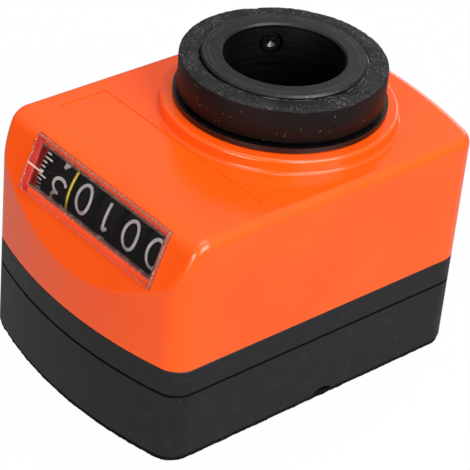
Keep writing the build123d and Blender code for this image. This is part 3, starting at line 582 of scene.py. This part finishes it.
# ---- counter: figures, ticks and the coloured line, printed proud on the drums ----
joint_at = {joint["name"]: joint for joint in frame["record"]["behaviour"]["joints"]}
_, drum_y, drum_z = [value / MM for value in joint_at["drum_1_spin"]["pos_m"]]
DRUM_R = 9.6
DRUM_COUNT = 5
FIGURE_PITCH = 6.0
FIRST_FIGURE_X = -10.95
FIGURE_ANGLE = 36.0  # ten figures round a drum
READING_ANGLE = 23.3  # above the horizontal, where the window is centred
SHOWN = (3, 0, 1, 0, 0)  # from the units drum rightwards
UNITS_ANGLE = 11.8  # the units drum stands a third of the way to its next figure
STROKE_W = 0.55
INK_RISE = 0.03
INK_SINK = 0.05
HALF_W = 1.55  # stroke centre lines, half the figure's width and height
HALF_H = 2.38
UPPER_BOWL = 1.12
LOWER_BOWL = 1.26
TICKS = 80
TICK_ANGLE = 4.5
TICK_PHASE = 4.5  # first long tick above the figure's centre
LONG_TICK_EVERY = 4
TICK_X = -16.4
TICK_W = 0.26
TICK_L = 1.0
LONG_TICK_L = 1.9
LINE_W = 0.5
LINE_MARGIN = 0.3  # from the drum's right end
LINE_STEPS = 120


def drum_point(x, angle, rise):
    """Point at an angle in degrees above the horizontal front, rise above the drum."""
    x, turn, radius = np.broadcast_arrays(x, np.radians(angle), DRUM_R + rise)
    y = drum_y - radius * np.cos(turn)
    return np.stack([x, y, drum_z + radius * np.sin(turn)], axis=-1)


def arc(centre_x, centre_y, radius_x, radius_y, start, end, count=25):
    """Elliptical arc between two directions in degrees."""
    turn = np.radians(np.linspace(start, end, count))
    x = centre_x + radius_x * np.cos(turn)
    return np.stack([x, centre_y + radius_y * np.sin(turn)], axis=-1)


def line(*corners, count=7):
    """Straight runs through corners, divided evenly."""
    corners = np.array(corners, float)
    share = np.linspace(0, 1, count)[:-1, None]
    runs = [a + (b - a) * share for a, b in zip(corners[:-1], corners[1:])]
    return np.concatenate(runs + [corners[-1:]])


def figure_strokes(figure):
    """Centre lines of a figure, upright, as paths about its centre: arcs and straight
    runs between its half width and half height, with bowls above and below."""
    upper_y = HALF_H - UPPER_BOWL
    lower_y = -HALF_H + LOWER_BOWL
    return {
        0: [arc(0, 0, HALF_W, HALF_H, 0, 360, 49)],
        1: [line((0.2, -HALF_H), (0.2, HALF_H)), line((0.2, HALF_H), (-0.75, HALF_H - 0.7))],
        2: [
            arc(0, upper_y - 0.1, HALF_W, UPPER_BOWL + 0.1, 165, -25),
            line((HALF_W * 0.9, 0.62), (-HALF_W, -HALF_H)),
            line((-HALF_W, -HALF_H), (HALF_W, -HALF_H)),
        ],
        3: [
            arc(0, upper_y, HALF_W, UPPER_BOWL, 160, -90),
            arc(0, lower_y, HALF_W, LOWER_BOWL, 90, -160),
        ],
        4: [
            line((0.5, HALF_H - 0.45), (-HALF_W, -0.8)),
            line((-HALF_W, -0.8), (HALF_W, -0.8)),
            line((0.5, HALF_H - 0.45), (0.5, -HALF_H)),
        ],
        5: [
            line((HALF_W * 0.9, HALF_H), (-HALF_W * 0.75, HALF_H), (-HALF_W * 0.95, 0.2)),
            arc(0, lower_y + 0.15, HALF_W, LOWER_BOWL + 0.15, 145, -155),
        ],
        6: [
            arc(0, lower_y + 0.1, HALF_W, LOWER_BOWL + 0.1, 0, 360, 41),
            arc(HALF_W * 0.6, lower_y + 0.1, HALF_W * 1.6, HALF_H * 1.43, 180, 108),
        ],
        7: [line((-HALF_W, HALF_H), (HALF_W, HALF_H), (-0.4, -HALF_H))],
        8: [
            arc(0, upper_y, HALF_W * 0.86, UPPER_BOWL, 0, 360, 41),
            arc(0, lower_y, HALF_W, LOWER_BOWL, 0, 360, 41),
        ],
        9: [
            arc(0, -lower_y - 0.1, HALF_W, LOWER_BOWL + 0.1, 0, 360, 41),
            arc(-HALF_W * 0.6, -lower_y - 0.1, HALF_W * 1.6, HALF_H * 1.43, 0, -72),
        ],
    }[figure]


def stroke_shell(path):
    """Ribbon of even width and thickness along a path: each point is moved half a
    width to both sides, across the path, and to both levels."""
    closed = np.allclose(path[0], path[-1])
    if closed:
        path = path[:-1]
        along = np.roll(path, -1, axis=0) - np.roll(path, 1, axis=0)
    else:
        along = np.gradient(path, axis=0)
    along /= np.linalg.norm(along, axis=1, keepdims=True)
    across = np.stack([-along[:, 1], along[:, 0]], axis=-1) * STROKE_W / 2
    edges = []
    for side, rise in ((1, INK_RISE), (-1, INK_RISE), (-1, -INK_SINK), (1, -INK_SINK)):
        edges.append(np.column_stack([path + side * across, np.full(len(path), rise)]))
    grid = np.stack(edges, axis=1)
    return closed_band(grid) if closed else capped_run(grid)


def figure_shells(figure, centre_x, centre_angle):
    """A figure wrapped on its drum. Its top points down the drum's front, so its right
    side is towards -X."""
    for path in figure_strokes(figure):
        points, faces = stroke_shell(path)
        angle = centre_angle - np.degrees(points[:, 1] / DRUM_R)
        yield drum_point(centre_x - points[:, 0], angle, points[:, 2]), faces


for drum in range(DRUM_COUNT):
    shown_angle = UNITS_ANGLE if drum == 0 else READING_ANGLE
    centre_x = FIRST_FIGURE_X + drum * FIGURE_PITCH
    shells = []
    for figure in range(10):
        angle = shown_angle + (figure - SHOWN[drum]) * FIGURE_ANGLE
        shells += list(figure_shells(figure, centre_x, angle))
    body = "first_drum" if drum == 0 else f"drum_{drum + 1}"
    name = f"printed_figures_{drum + 1}"
    make_piece(name, stack_shells(shells), grey_ink, body)

ticks = []
for tick in range(TICKS):
    angle = UNITS_ANGLE + TICK_PHASE + tick * TICK_ANGLE
    length = LONG_TICK_L if tick % LONG_TICK_EVERY == 0 else TICK_L
    turned_width = degrees(TICK_W / DRUM_R)
    ticks.append(
        bar_shell(drum_point, TICK_X, length, angle, turned_width, -INK_SINK, INK_RISE)
    )
make_piece("printed_ticks", stack_shells(ticks), white_ink, "first_drum")

line_left = box_of("digit_drum_1")[1][0] - LINE_MARGIN - LINE_W
turn = np.arange(LINE_STEPS) * 360 / LINE_STEPS
section = [(0, INK_RISE), (LINE_W, INK_RISE), (LINE_W, -INK_SINK), (0, -INK_SINK)]
edges = [drum_point(line_left + x, turn, rise) for x, rise in section]
make_piece(
    "printed_yellow_line",
    closed_band(np.stack(edges, axis=1)),
    yellow_ink,
    "first_drum",
    smooth=True,
)

# ---- index line on the clear window's left end ----
INDEX_X = -15.95
INDEX_L = 4.0
INDEX_UP = -6.05
INDEX_W = 0.28
INDEX_RISE = 0.03
PLATE_OUT = 0.4


def window_point(x, up, out):
    """Point on the slanted face: along it, up it from its top line, and out of it."""
    return (
        SLANT_ORIGIN
        + np.multiply.outer(x, [1.0, 0, 0])
        + np.multiply.outer(up, slant_up)
        + np.multiply.outer(out, slant_out)
    )


index_line = bar_shell(
    window_point, INDEX_X, INDEX_L, INDEX_UP, INDEX_W, PLATE_OUT, PLATE_OUT + INDEX_RISE
)
make_piece("printed_index_line", index_line, pale_ink, "case")

# ---- edges and inner walls of the window moulding ----
CORNER_TURNS = np.radians(np.linspace(0, 90, 7) + np.array([[-90], [0], [90], [180]]))
WALL_END_X = -14.9


def window_ring(insets, corner, out):
    """Points round the window's outline, moved in by insets on its left, low, right and
    high sides, with round corners: four arcs joined by straight runs, at a level out."""
    left, low, right, high = insets
    mid_x = WINDOW_MID_X + np.array([1, 1, -1, -1]) * (WINDOW_W / 2 - corner)
    mid_up = WINDOW_MID_UP + np.array([-1, 1, 1, -1]) * (WINDOW_H / 2 - corner)
    mid_x = mid_x - np.array([right, right, -left, -left])
    mid_up = mid_up - np.array([-low, high, high, -low])
    x = (mid_x[:, None] + corner * np.cos(CORNER_TURNS)).ravel()
    up = (mid_up[:, None] + corner * np.sin(CORNER_TURNS)).ravel()
    return window_point(x, up, np.full(x.shape, out))


def window_bead(*profile):
    """A closed bead round the window: a profile of insets, the same on all four sides,
    with their corner radii and levels, carried round the outline."""
    rings = [window_ring((inset,) * 4, corner, out) for inset, corner, out in profile]
    return closed_band(np.stack(rings))


def window_wall(*profile):
    """Wall round three sides of the opening, behind the plate: a profile carried along
    the low side, round the right end and back along the high side, closed at its ends."""
    edges = []
    for insets, corner, out in profile:
        bends = window_ring((0, *insets), corner, out)[: 2 * CORNER_TURNS.shape[1]]
        ends = bends[[0, -1]]
        ends[:, 0] = WALL_END_X
        edges.append(np.concatenate([ends[:1], bends, ends[1:]]))
    return capped_run(np.stack(edges, axis=1))


outer_edge = window_bead(
    (-0.03, 0.35, -0.5),
    (-0.03, 0.35, 0.12),
    (0.0, 0.3, 0.3),
    (0.05, 0.25, 0.39),
    (0.12, 0.2, 0.42),
    (0.1, 0.2, 0.3),
    (0.03, 0.2, -0.5),
)
inner_edge = window_bead(
    (0.9, 0.3, -1.05),
    (0.97, 0.3, -0.98),
    (1.07, 0.3, -0.98),
    (1.14, 0.3, -1.05),
    (1.14, 0.3, -1.18),
    (0.9, 0.3, -1.18),
)
inner_wall = window_wall(
    ((1.02, 1.02, 1.02), 0.3, -1.3),
    ((1.12, 1.4, 1.5), 0.25, -1.3),
    ((1.16, 1.5, 1.6), 0.2, -1.42),
    ((1.16, 1.5, 1.6), 0.2, -2.3),
    ((1.02, 1.02, 1.02), 0.3, -2.3),
)
make_piece("window_outer_edge", outer_edge, milky_edge, "case")
make_piece("window_inner_edge", inner_edge, milky_edge, "case")
make_piece("window_inner_wall", inner_wall, milky_wall, "case")

# ---- lip of the left cheek, over the first drum's rim ----
LIP_LEFT, LIP_RIGHT = -17.45, -16.42
LIP_LOW, LIP_HIGH = 0.12, 0.3  # above the drum
LIP_TURNS = np.linspace(-25, 75, 60)
section = [(LIP_LEFT, LIP_LOW), (LIP_LEFT, LIP_HIGH), (LIP_RIGHT, LIP_HIGH), (LIP_RIGHT, LIP_LOW)]
edges = [drum_point(x, LIP_TURNS, rise) for x, rise in section]
lip = capped_run(np.stack(edges, axis=1))
make_piece("cheek_lip", lip, finishes["red_plastic"], "case")

# ---- rubber ring on the collar, cut from tube with a knife ----
RING_STEPS = 360
RING_OUT_R = 16.95
RING_IN_R = 13.54
RING_TOP_CLEAR = 0.02  # its top and bottom, inside those of its node
RING_BOTTOM_CLEAR = 0.1
RING_GAP = 0.12  # how far it stands off the collar, and where
RING_GAP_ANGLE = 255.0
RING_LEAN = 0.22  # how far it leans over the collar's chamfer elsewhere
RING_EDGE = 0.22
RING_IN_EDGE = 0.07
RING_BREAK = 0.05  # the outer edge's middle, inside both faces
RING_CREST = 0.03  # the inner edge's middle, below the top
ring_low, ring_high = box_of("seal_ring")
turn = np.arange(RING_STEPS) * tau / RING_STEPS
loose = np.clip(np.cos(turn - radians(RING_GAP_ANGLE)), 0, 1) ** 2
lean = RING_LEAN * (1 - loose)
outer = RING_OUT_R + wobble(turn, 3, terms=9, size=0.05)
inner = RING_IN_R + RING_GAP * loose + np.abs(wobble(turn, 4, terms=30, size=0.04))
top = ring_high[2] - RING_TOP_CLEAR + wobble(turn, 5, terms=12, size=0.05)
bottom = ring_low[2] + RING_BOTTOM_CLEAR + wobble(turn, 6, terms=12, size=0.05)
ragged_top = np.abs(wobble(turn, 7, terms=90, size=0.07))
ragged_in = np.abs(wobble(turn, 8, terms=90, size=0.03))
ragged_bottom = np.abs(wobble(turn, 9, terms=90, size=0.07))
face_wobble = wobble(turn, 10, terms=40, size=0.02)
side_wobble = wobble(turn, 11, terms=25, size=0.02)
edge_wobble = wobble(turn, 12, terms=25, size=0.02)
section = [
    (inner + RING_IN_EDGE - lean, top),
    ((inner + outer) / 2, top + face_wobble),
    (outer - RING_EDGE - ragged_top, top),
    (outer - RING_BREAK, top - RING_BREAK - ragged_top),
    (outer + edge_wobble, top - RING_EDGE - ragged_top),
    (outer + side_wobble, (top + bottom) / 2),
    (outer, bottom + RING_EDGE + ragged_bottom),
    (outer - RING_EDGE - ragged_bottom, bottom),
    (inner + RING_EDGE, bottom),
    (inner, bottom + RING_EDGE),
    (inner, top - RING_IN_EDGE - ragged_in),
    (inner + ragged_in - lean, top - RING_CREST),
]
edges = [ring_points(radius, turn, level) for radius, level in section]
seal = make_piece(
    "cut_rubber_ring",
    closed_band(np.stack(edges, axis=1)),
    finishes["rubber"],
    "shaft",
    smooth=True,
)
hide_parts("seal_ring")

# ---- torn edge of the foam gasket, round the case's plan ----
HALF_WIDTH = 24.0
CORNER_R = 4.3
CORNER_X = HALF_WIDTH - CORNER_R
FRONT_CENTRE_Y, FRONT_R = 35.0, 77.0
REAR_CENTRE_Y, REAR_R = -55.4, 81.0
ARC_STEPS = 60
FOAM_STEPS = 1400
FOAM_INSET = 0.4
FOAM_TUCK = 0.6  # how far the edge runs under the base
FOAM_BULGE = 0.12
FOAM_CLEAR = 0.02  # above and below it


def case_plan(inset, steps):
    """Evenly spaced points and outward directions round the case's plan, and how far
    round they are: a bowed front and rear, straight sides and round corners, moved
    inwards."""
    front_y = FRONT_CENTRE_Y - sqrt((FRONT_R - CORNER_R) ** 2 - CORNER_X**2)
    rear_y = REAR_CENTRE_Y + sqrt((REAR_R - CORNER_R) ** 2 - CORNER_X**2)
    front_half = degrees(asin(CORNER_X / (FRONT_R - CORNER_R)))
    rear_half = degrees(asin(CORNER_X / (REAR_R - CORNER_R)))
    arcs = [
        (0, FRONT_CENTRE_Y, FRONT_R, 270 - front_half, 270 + front_half),
        (CORNER_X, front_y, CORNER_R, 270 + front_half, 360),
        (CORNER_X, rear_y, CORNER_R, 360, 450 - rear_half),
        (0, REAR_CENTRE_Y, REAR_R, 450 - rear_half, 450 + rear_half),
        (-CORNER_X, rear_y, CORNER_R, 450 + rear_half, 540),
        (-CORNER_X, front_y, CORNER_R, 540, 630 - front_half),
    ]
    places, headings = [], []
    for centre_x, centre_y, radius, start, end in arcs:
        heading = np.radians(np.linspace(start, end, ARC_STEPS))
        out = np.stack([np.cos(heading), np.sin(heading)], axis=-1)
        places.append(np.array([centre_x, centre_y]) + (radius - inset) * out)
        headings.append(heading)
    places = np.concatenate(places + [places[0][:1]])
    headings = np.concatenate(headings + [headings[0][:1] + tau])
    runs = np.linalg.norm(np.diff(places, axis=0), axis=1)
    travelled = np.concatenate([[0], np.cumsum(runs)])
    spaced = np.linspace(0, travelled[-1], steps, endpoint=False)
    spread = np.stack([np.interp(spaced, travelled, places[:, k]) for k in (0, 1)], axis=-1)
    heading = np.interp(spaced, travelled, headings)
    outwards = np.stack([np.cos(heading), np.sin(heading)], axis=-1)
    return spread, outwards, spaced / travelled[-1] * tau


gasket_low, gasket_high = box_of("foam_gasket")
plan, outwards, turn = case_plan(FOAM_INSET, FOAM_STEPS)
bulge = FOAM_BULGE + np.abs(wobble(turn, 21, terms=260, size=0.09))
lower = gasket_low[2] + FOAM_CLEAR + np.abs(wobble(turn, 22, terms=200, size=0.05))
upper = gasket_high[2] - FOAM_CLEAR
section = [
    (-FOAM_TUCK, upper),
    (bulge * 0.5, upper),
    (bulge, (upper + lower) / 2 + wobble(turn, 23, terms=160, size=0.06)),
    (bulge * 0.6, lower),
    (-FOAM_TUCK, lower),
]
edges = []
for out, level in section:
    out, level = np.broadcast_to(out, turn.shape), np.broadcast_to(level, turn.shape)
    edges.append(np.column_stack([plan + outwards * out[:, None], level]))
make_piece(
    "torn_foam_edge",
    closed_band(np.stack(edges, axis=1)),
    finishes["foam"],
    "case",
    smooth=True,
)

# ---- grub screw with its thread ----
SCREW_START = 10.25
SCREW_LENGTH = 3.0
SCREW_AROUND = 40
SCREW_ROWS = 61
THREAD_PITCH = 0.7
THREAD_ROOT_R = 1.55
THREAD_CREST_R = 1.93
THREAD_RUN_OUT = 0.5
CUP_R = 0.9
CUP_RIM = 0.06
CUP_DEPTH = 0.5
KEY_R = 1.1
KEY_DEPTH = 1.4
KEY_CONE = 0.25
AXIS_R = 0.02  # where the cup and the key's recess close


def screw_shell():
    """Screw along its own axis: rows down its length, whose radius follows a triangular
    thread that turns once a pitch, run out to the root at both ends, with a cupped
    point and a six-sided key recess."""
    around = np.arange(SCREW_AROUND) * tau / SCREW_AROUND
    depth = np.linspace(0, SCREW_LENGTH, SCREW_ROWS)
    phase = depth[:, None] / THREAD_PITCH - around[None, :] / tau
    tooth = np.abs((phase % 1.0) * 2 - 1)
    ends = np.minimum(depth, SCREW_LENGTH - depth)[:, None] / THREAD_RUN_OUT
    thread_r = THREAD_ROOT_R + (THREAD_CREST_R - THREAD_ROOT_R) * tooth * np.clip(ends, 0, 1)
    hexagon = KEY_R * cos(tau / 12) / np.cos((around % (tau / 6)) - tau / 12)
    key_end = SCREW_LENGTH - KEY_DEPTH
    rows = [(AXIS_R, CUP_DEPTH), (CUP_R, CUP_RIM)]
    rows += list(zip(thread_r, depth))
    rows += [(hexagon, SCREW_LENGTH), (hexagon, key_end), (AXIS_R, key_end - KEY_CONE)]
    return capped_run(np.stack([ring_points(radius, around, level) for radius, level in rows]))


outward = -np.array(Vector(joint_at["set_screw_travel"]["axis"]).normalized())
screw_low, screw_high = box_of("grub_screw")
points, faces = screw_shell()
up = np.array([0, 0, 1.0])
points = (
    up * (screw_low[2] + screw_high[2]) / 2
    + np.outer(points[:, 0], np.cross(outward, up))
    + np.outer(points[:, 1], up)
    + np.outer(points[:, 2] + SCREW_START, outward)
)
threaded = make_piece(
    "threaded_grub_screw", (points, faces), rolled_screw_steel, "set_screw"
)
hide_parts("grub_screw")

# ---- stage: pale floor under the torque pin's tip and the case's rear edge ----
PIN_TIP = Vector((0, -22, -6)) * MM
REAR_EDGE = Vector((0, 25.2, 0)) * MM
FLOOR_SIZE = 6.0  # metres
FLOOR_GLOW = 1.06
FLOOR_SHARE = 0.92  # of the floor's look that is plain white; the rest takes the shadow
FLOOR_REFLECTED = 0.23  # how much of the white floor gloss and glass show near the object
FLOOR_FAR = 0.08  # and how much of it far away
FLOOR_NEAR_R, FLOOR_FAR_R = 80.0, 400.0
ROOM_REFLECTED = 0.02
ROOM_LOW, ROOM_HIGH = 0.06, 0.55  # light from the horizon and from high up
ROOM_HIGH_AT = 0.6  # the height, on a sky of radius 1, from which it is high up


def background_seen(tree, reflected):
    """1 for what the camera sees directly, reflected for what it sees in gloss and
    through glass, and 0 for the light that falls on the object."""
    rays = add_node(tree, "ShaderNodeLightPath", {})
    inputs = {0: rays["Is Glossy Ray"], 1: rays["Is Transmission Ray"]}
    indirect = add_node(tree, "ShaderNodeMath", inputs, operation="MAXIMUM")[0]
    inputs = {0: indirect, 1: reflected}
    indirect = add_node(tree, "ShaderNodeMath", inputs, operation="MULTIPLY")[0]
    inputs = {0: rays["Is Camera Ray"], 1: indirect}
    return add_node(tree, "ShaderNodeMath", inputs, operation="MAXIMUM")[0]


def white_floor():
    """White floor: the camera sees it lit from within, with the lamps' light on top, so
    that a faint shadow shows; seen from behind it is clear."""
    material = bpy.data.materials.new("white_floor")
    material.use_nodes = True
    tree = material.node_tree
    tree.nodes.clear()
    place = add_node(tree, "ShaderNodeTexCoord", {})["Object"]
    inputs = {
        "Value": add_node(tree, "ShaderNodeVectorMath", {0: place}, operation="LENGTH")["Value"],
        "From Min": FLOOR_NEAR_R * MM,
        "From Max": FLOOR_FAR_R * MM,
        "To Min": FLOOR_REFLECTED,
        "To Max": FLOOR_FAR,
    }
    reflected = add_node(tree, "ShaderNodeMapRange", inputs)["Result"]
    inputs = {0: background_seen(tree, reflected), 1: FLOOR_SHARE}
    seen = add_node(tree, "ShaderNodeMath", inputs, operation="MULTIPLY")[0]
    matt = add_node(tree, "ShaderNodeBsdfDiffuse", {"Color": linear(FLOOR_GREY)})["BSDF"]
    inputs = {"Color": linear(PAPER_WHITE), "Strength": FLOOR_GLOW}
    white = add_node(tree, "ShaderNodeEmission", inputs)["Emission"]
    lit = add_node(tree, "ShaderNodeMixShader", {0: seen, 1: matt, 2: white})["Shader"]
    clear = add_node(tree, "ShaderNodeBsdfTransparent", {})["BSDF"]
    behind = add_node(tree, "ShaderNodeNewGeometry", {})["Backfacing"]
    final = add_node(tree, "ShaderNodeMixShader", {0: behind, 1: lit, 2: clear})["Shader"]
    add_node(tree, "ShaderNodeOutputMaterial", {"Surface": final})
    return material


along_floor = (REAR_EDGE - PIN_TIP).normalized()
across_floor = Vector((1, 0, 0))
corners = [
    PIN_TIP + (across_floor * side + along_floor * end) * FLOOR_SIZE / 2
    for side, end in ((-1, -1), (1, -1), (1, 1), (-1, 1))
]
floor_mesh = bpy.data.meshes.new("floor")
floor_mesh.from_pydata([corner[:] for corner in corners], [], [(0, 1, 2, 3)])
floor_mesh.materials.append(white_floor())
floor = bpy.data.objects.new("floor", floor_mesh)
bpy.context.scene.collection.objects.link(floor)

world = bpy.data.worlds.new("studio")
bpy.context.scene.world = world
world.use_nodes = True
tree = world.node_tree
tree.nodes.clear()
sky = add_node(tree, "ShaderNodeTexCoord", {})["Generated"]
inputs = {
    "Value": add_node(tree, "ShaderNodeSeparateXYZ", {"Vector": sky})["Z"],
    "From Min": 0.0,
    "From Max": ROOM_HIGH_AT,
    "To Min": ROOM_LOW,
    "To Max": ROOM_HIGH,
}
strength = add_node(tree, "ShaderNodeMapRange", inputs)["Result"]
inputs = {"Color": linear(ROOM_GREY), "Strength": strength}
room = add_node(tree, "ShaderNodeBackground", inputs)["Background"]
inputs = {"Color": linear(PAPER_WHITE), "Strength": 1.0}
white = add_node(tree, "ShaderNodeBackground", inputs)["Background"]
seen = background_seen(tree, ROOM_REFLECTED)
mixed = add_node(tree, "ShaderNodeMixShader", {0: seen, 1: room, 2: white})["Shader"]
add_node(tree, "ShaderNodeOutputWorld", {"Surface": mixed})

# ---- lamps ----
LAMP_DISTANCE = 0.9  # metres, as the lamps' sizes
LAMP_TARGET = Vector((0, -5, 20)) * MM


def softbox(name, azimuth, elevation, size, power):
    """Square area lamp in a direction from the case, facing it. Azimuth 0 is in front of
    the window, 90 towards +X."""
    heading, height = radians(azimuth), radians(elevation)
    direction = Vector((sin(heading) * cos(height), -cos(heading) * cos(height), sin(height)))
    lamp_data = bpy.data.lights.new(name, "AREA")
    lamp_data.shape = "SQUARE"
    lamp_data.size = size
    lamp_data.energy = power
    lamp = bpy.data.objects.new(name, lamp_data)
    lamp.location = LAMP_TARGET + direction * LAMP_DISTANCE
    lamp.rotation_euler = direction.to_track_quat("Z", "Y").to_euler()
    bpy.context.scene.collection.objects.link(lamp)


softbox("right_softbox", 92, 34, size=0.6, power=8.8)
softbox("top_softbox", 190, 86, size=0.6, power=3.4)
softbox("front_softbox", 24, 12, size=0.4, power=4.1)
softbox("rear_softbox", 208, 8, size=0.4, power=1.4)

# ---- camera ----
CAMERA_AZIMUTH = radians(46.837)
CAMERA_ELEVATION = radians(33.981)
CAMERA_ROLL = radians(5.783)
CAMERA_PLACE = Vector((227.65, -218.03, 227.10)) * MM
LENS = 171.9
SENSOR = 36.0
SHIFT_X, SHIFT_Y = -0.0213, 0.0106
NEAR_CLIP = 0.01  # metres
back = Vector(
    (
        sin(CAMERA_AZIMUTH) * cos(CAMERA_ELEVATION),
        -cos(CAMERA_AZIMUTH) * cos(CAMERA_ELEVATION),
        sin(CAMERA_ELEVATION),
    )
)
level = Vector((cos(CAMERA_AZIMUTH), sin(CAMERA_AZIMUTH), 0))
above = back.cross(level)
right = level * cos(CAMERA_ROLL) + above * sin(CAMERA_ROLL)
upward = above * cos(CAMERA_ROLL) - level * sin(CAMERA_ROLL)
camera_data = bpy.data.cameras.new("camera")
camera_data.lens = LENS
camera_data.sensor_width = SENSOR
camera_data.shift_x = SHIFT_X
camera_data.shift_y = SHIFT_Y
camera_data.clip_start = NEAR_CLIP
camera = bpy.data.objects.new("camera", camera_data)
camera.matrix_world = Matrix(
    [[right[k], upward[k], back[k], CAMERA_PLACE[k]] for k in range(3)] + [[0, 0, 0, 1]]
)
bpy.context.scene.collection.objects.link(camera)
bpy.context.scene.camera = camera
bpy.context.scene.view_settings.view_transform = "Standard"
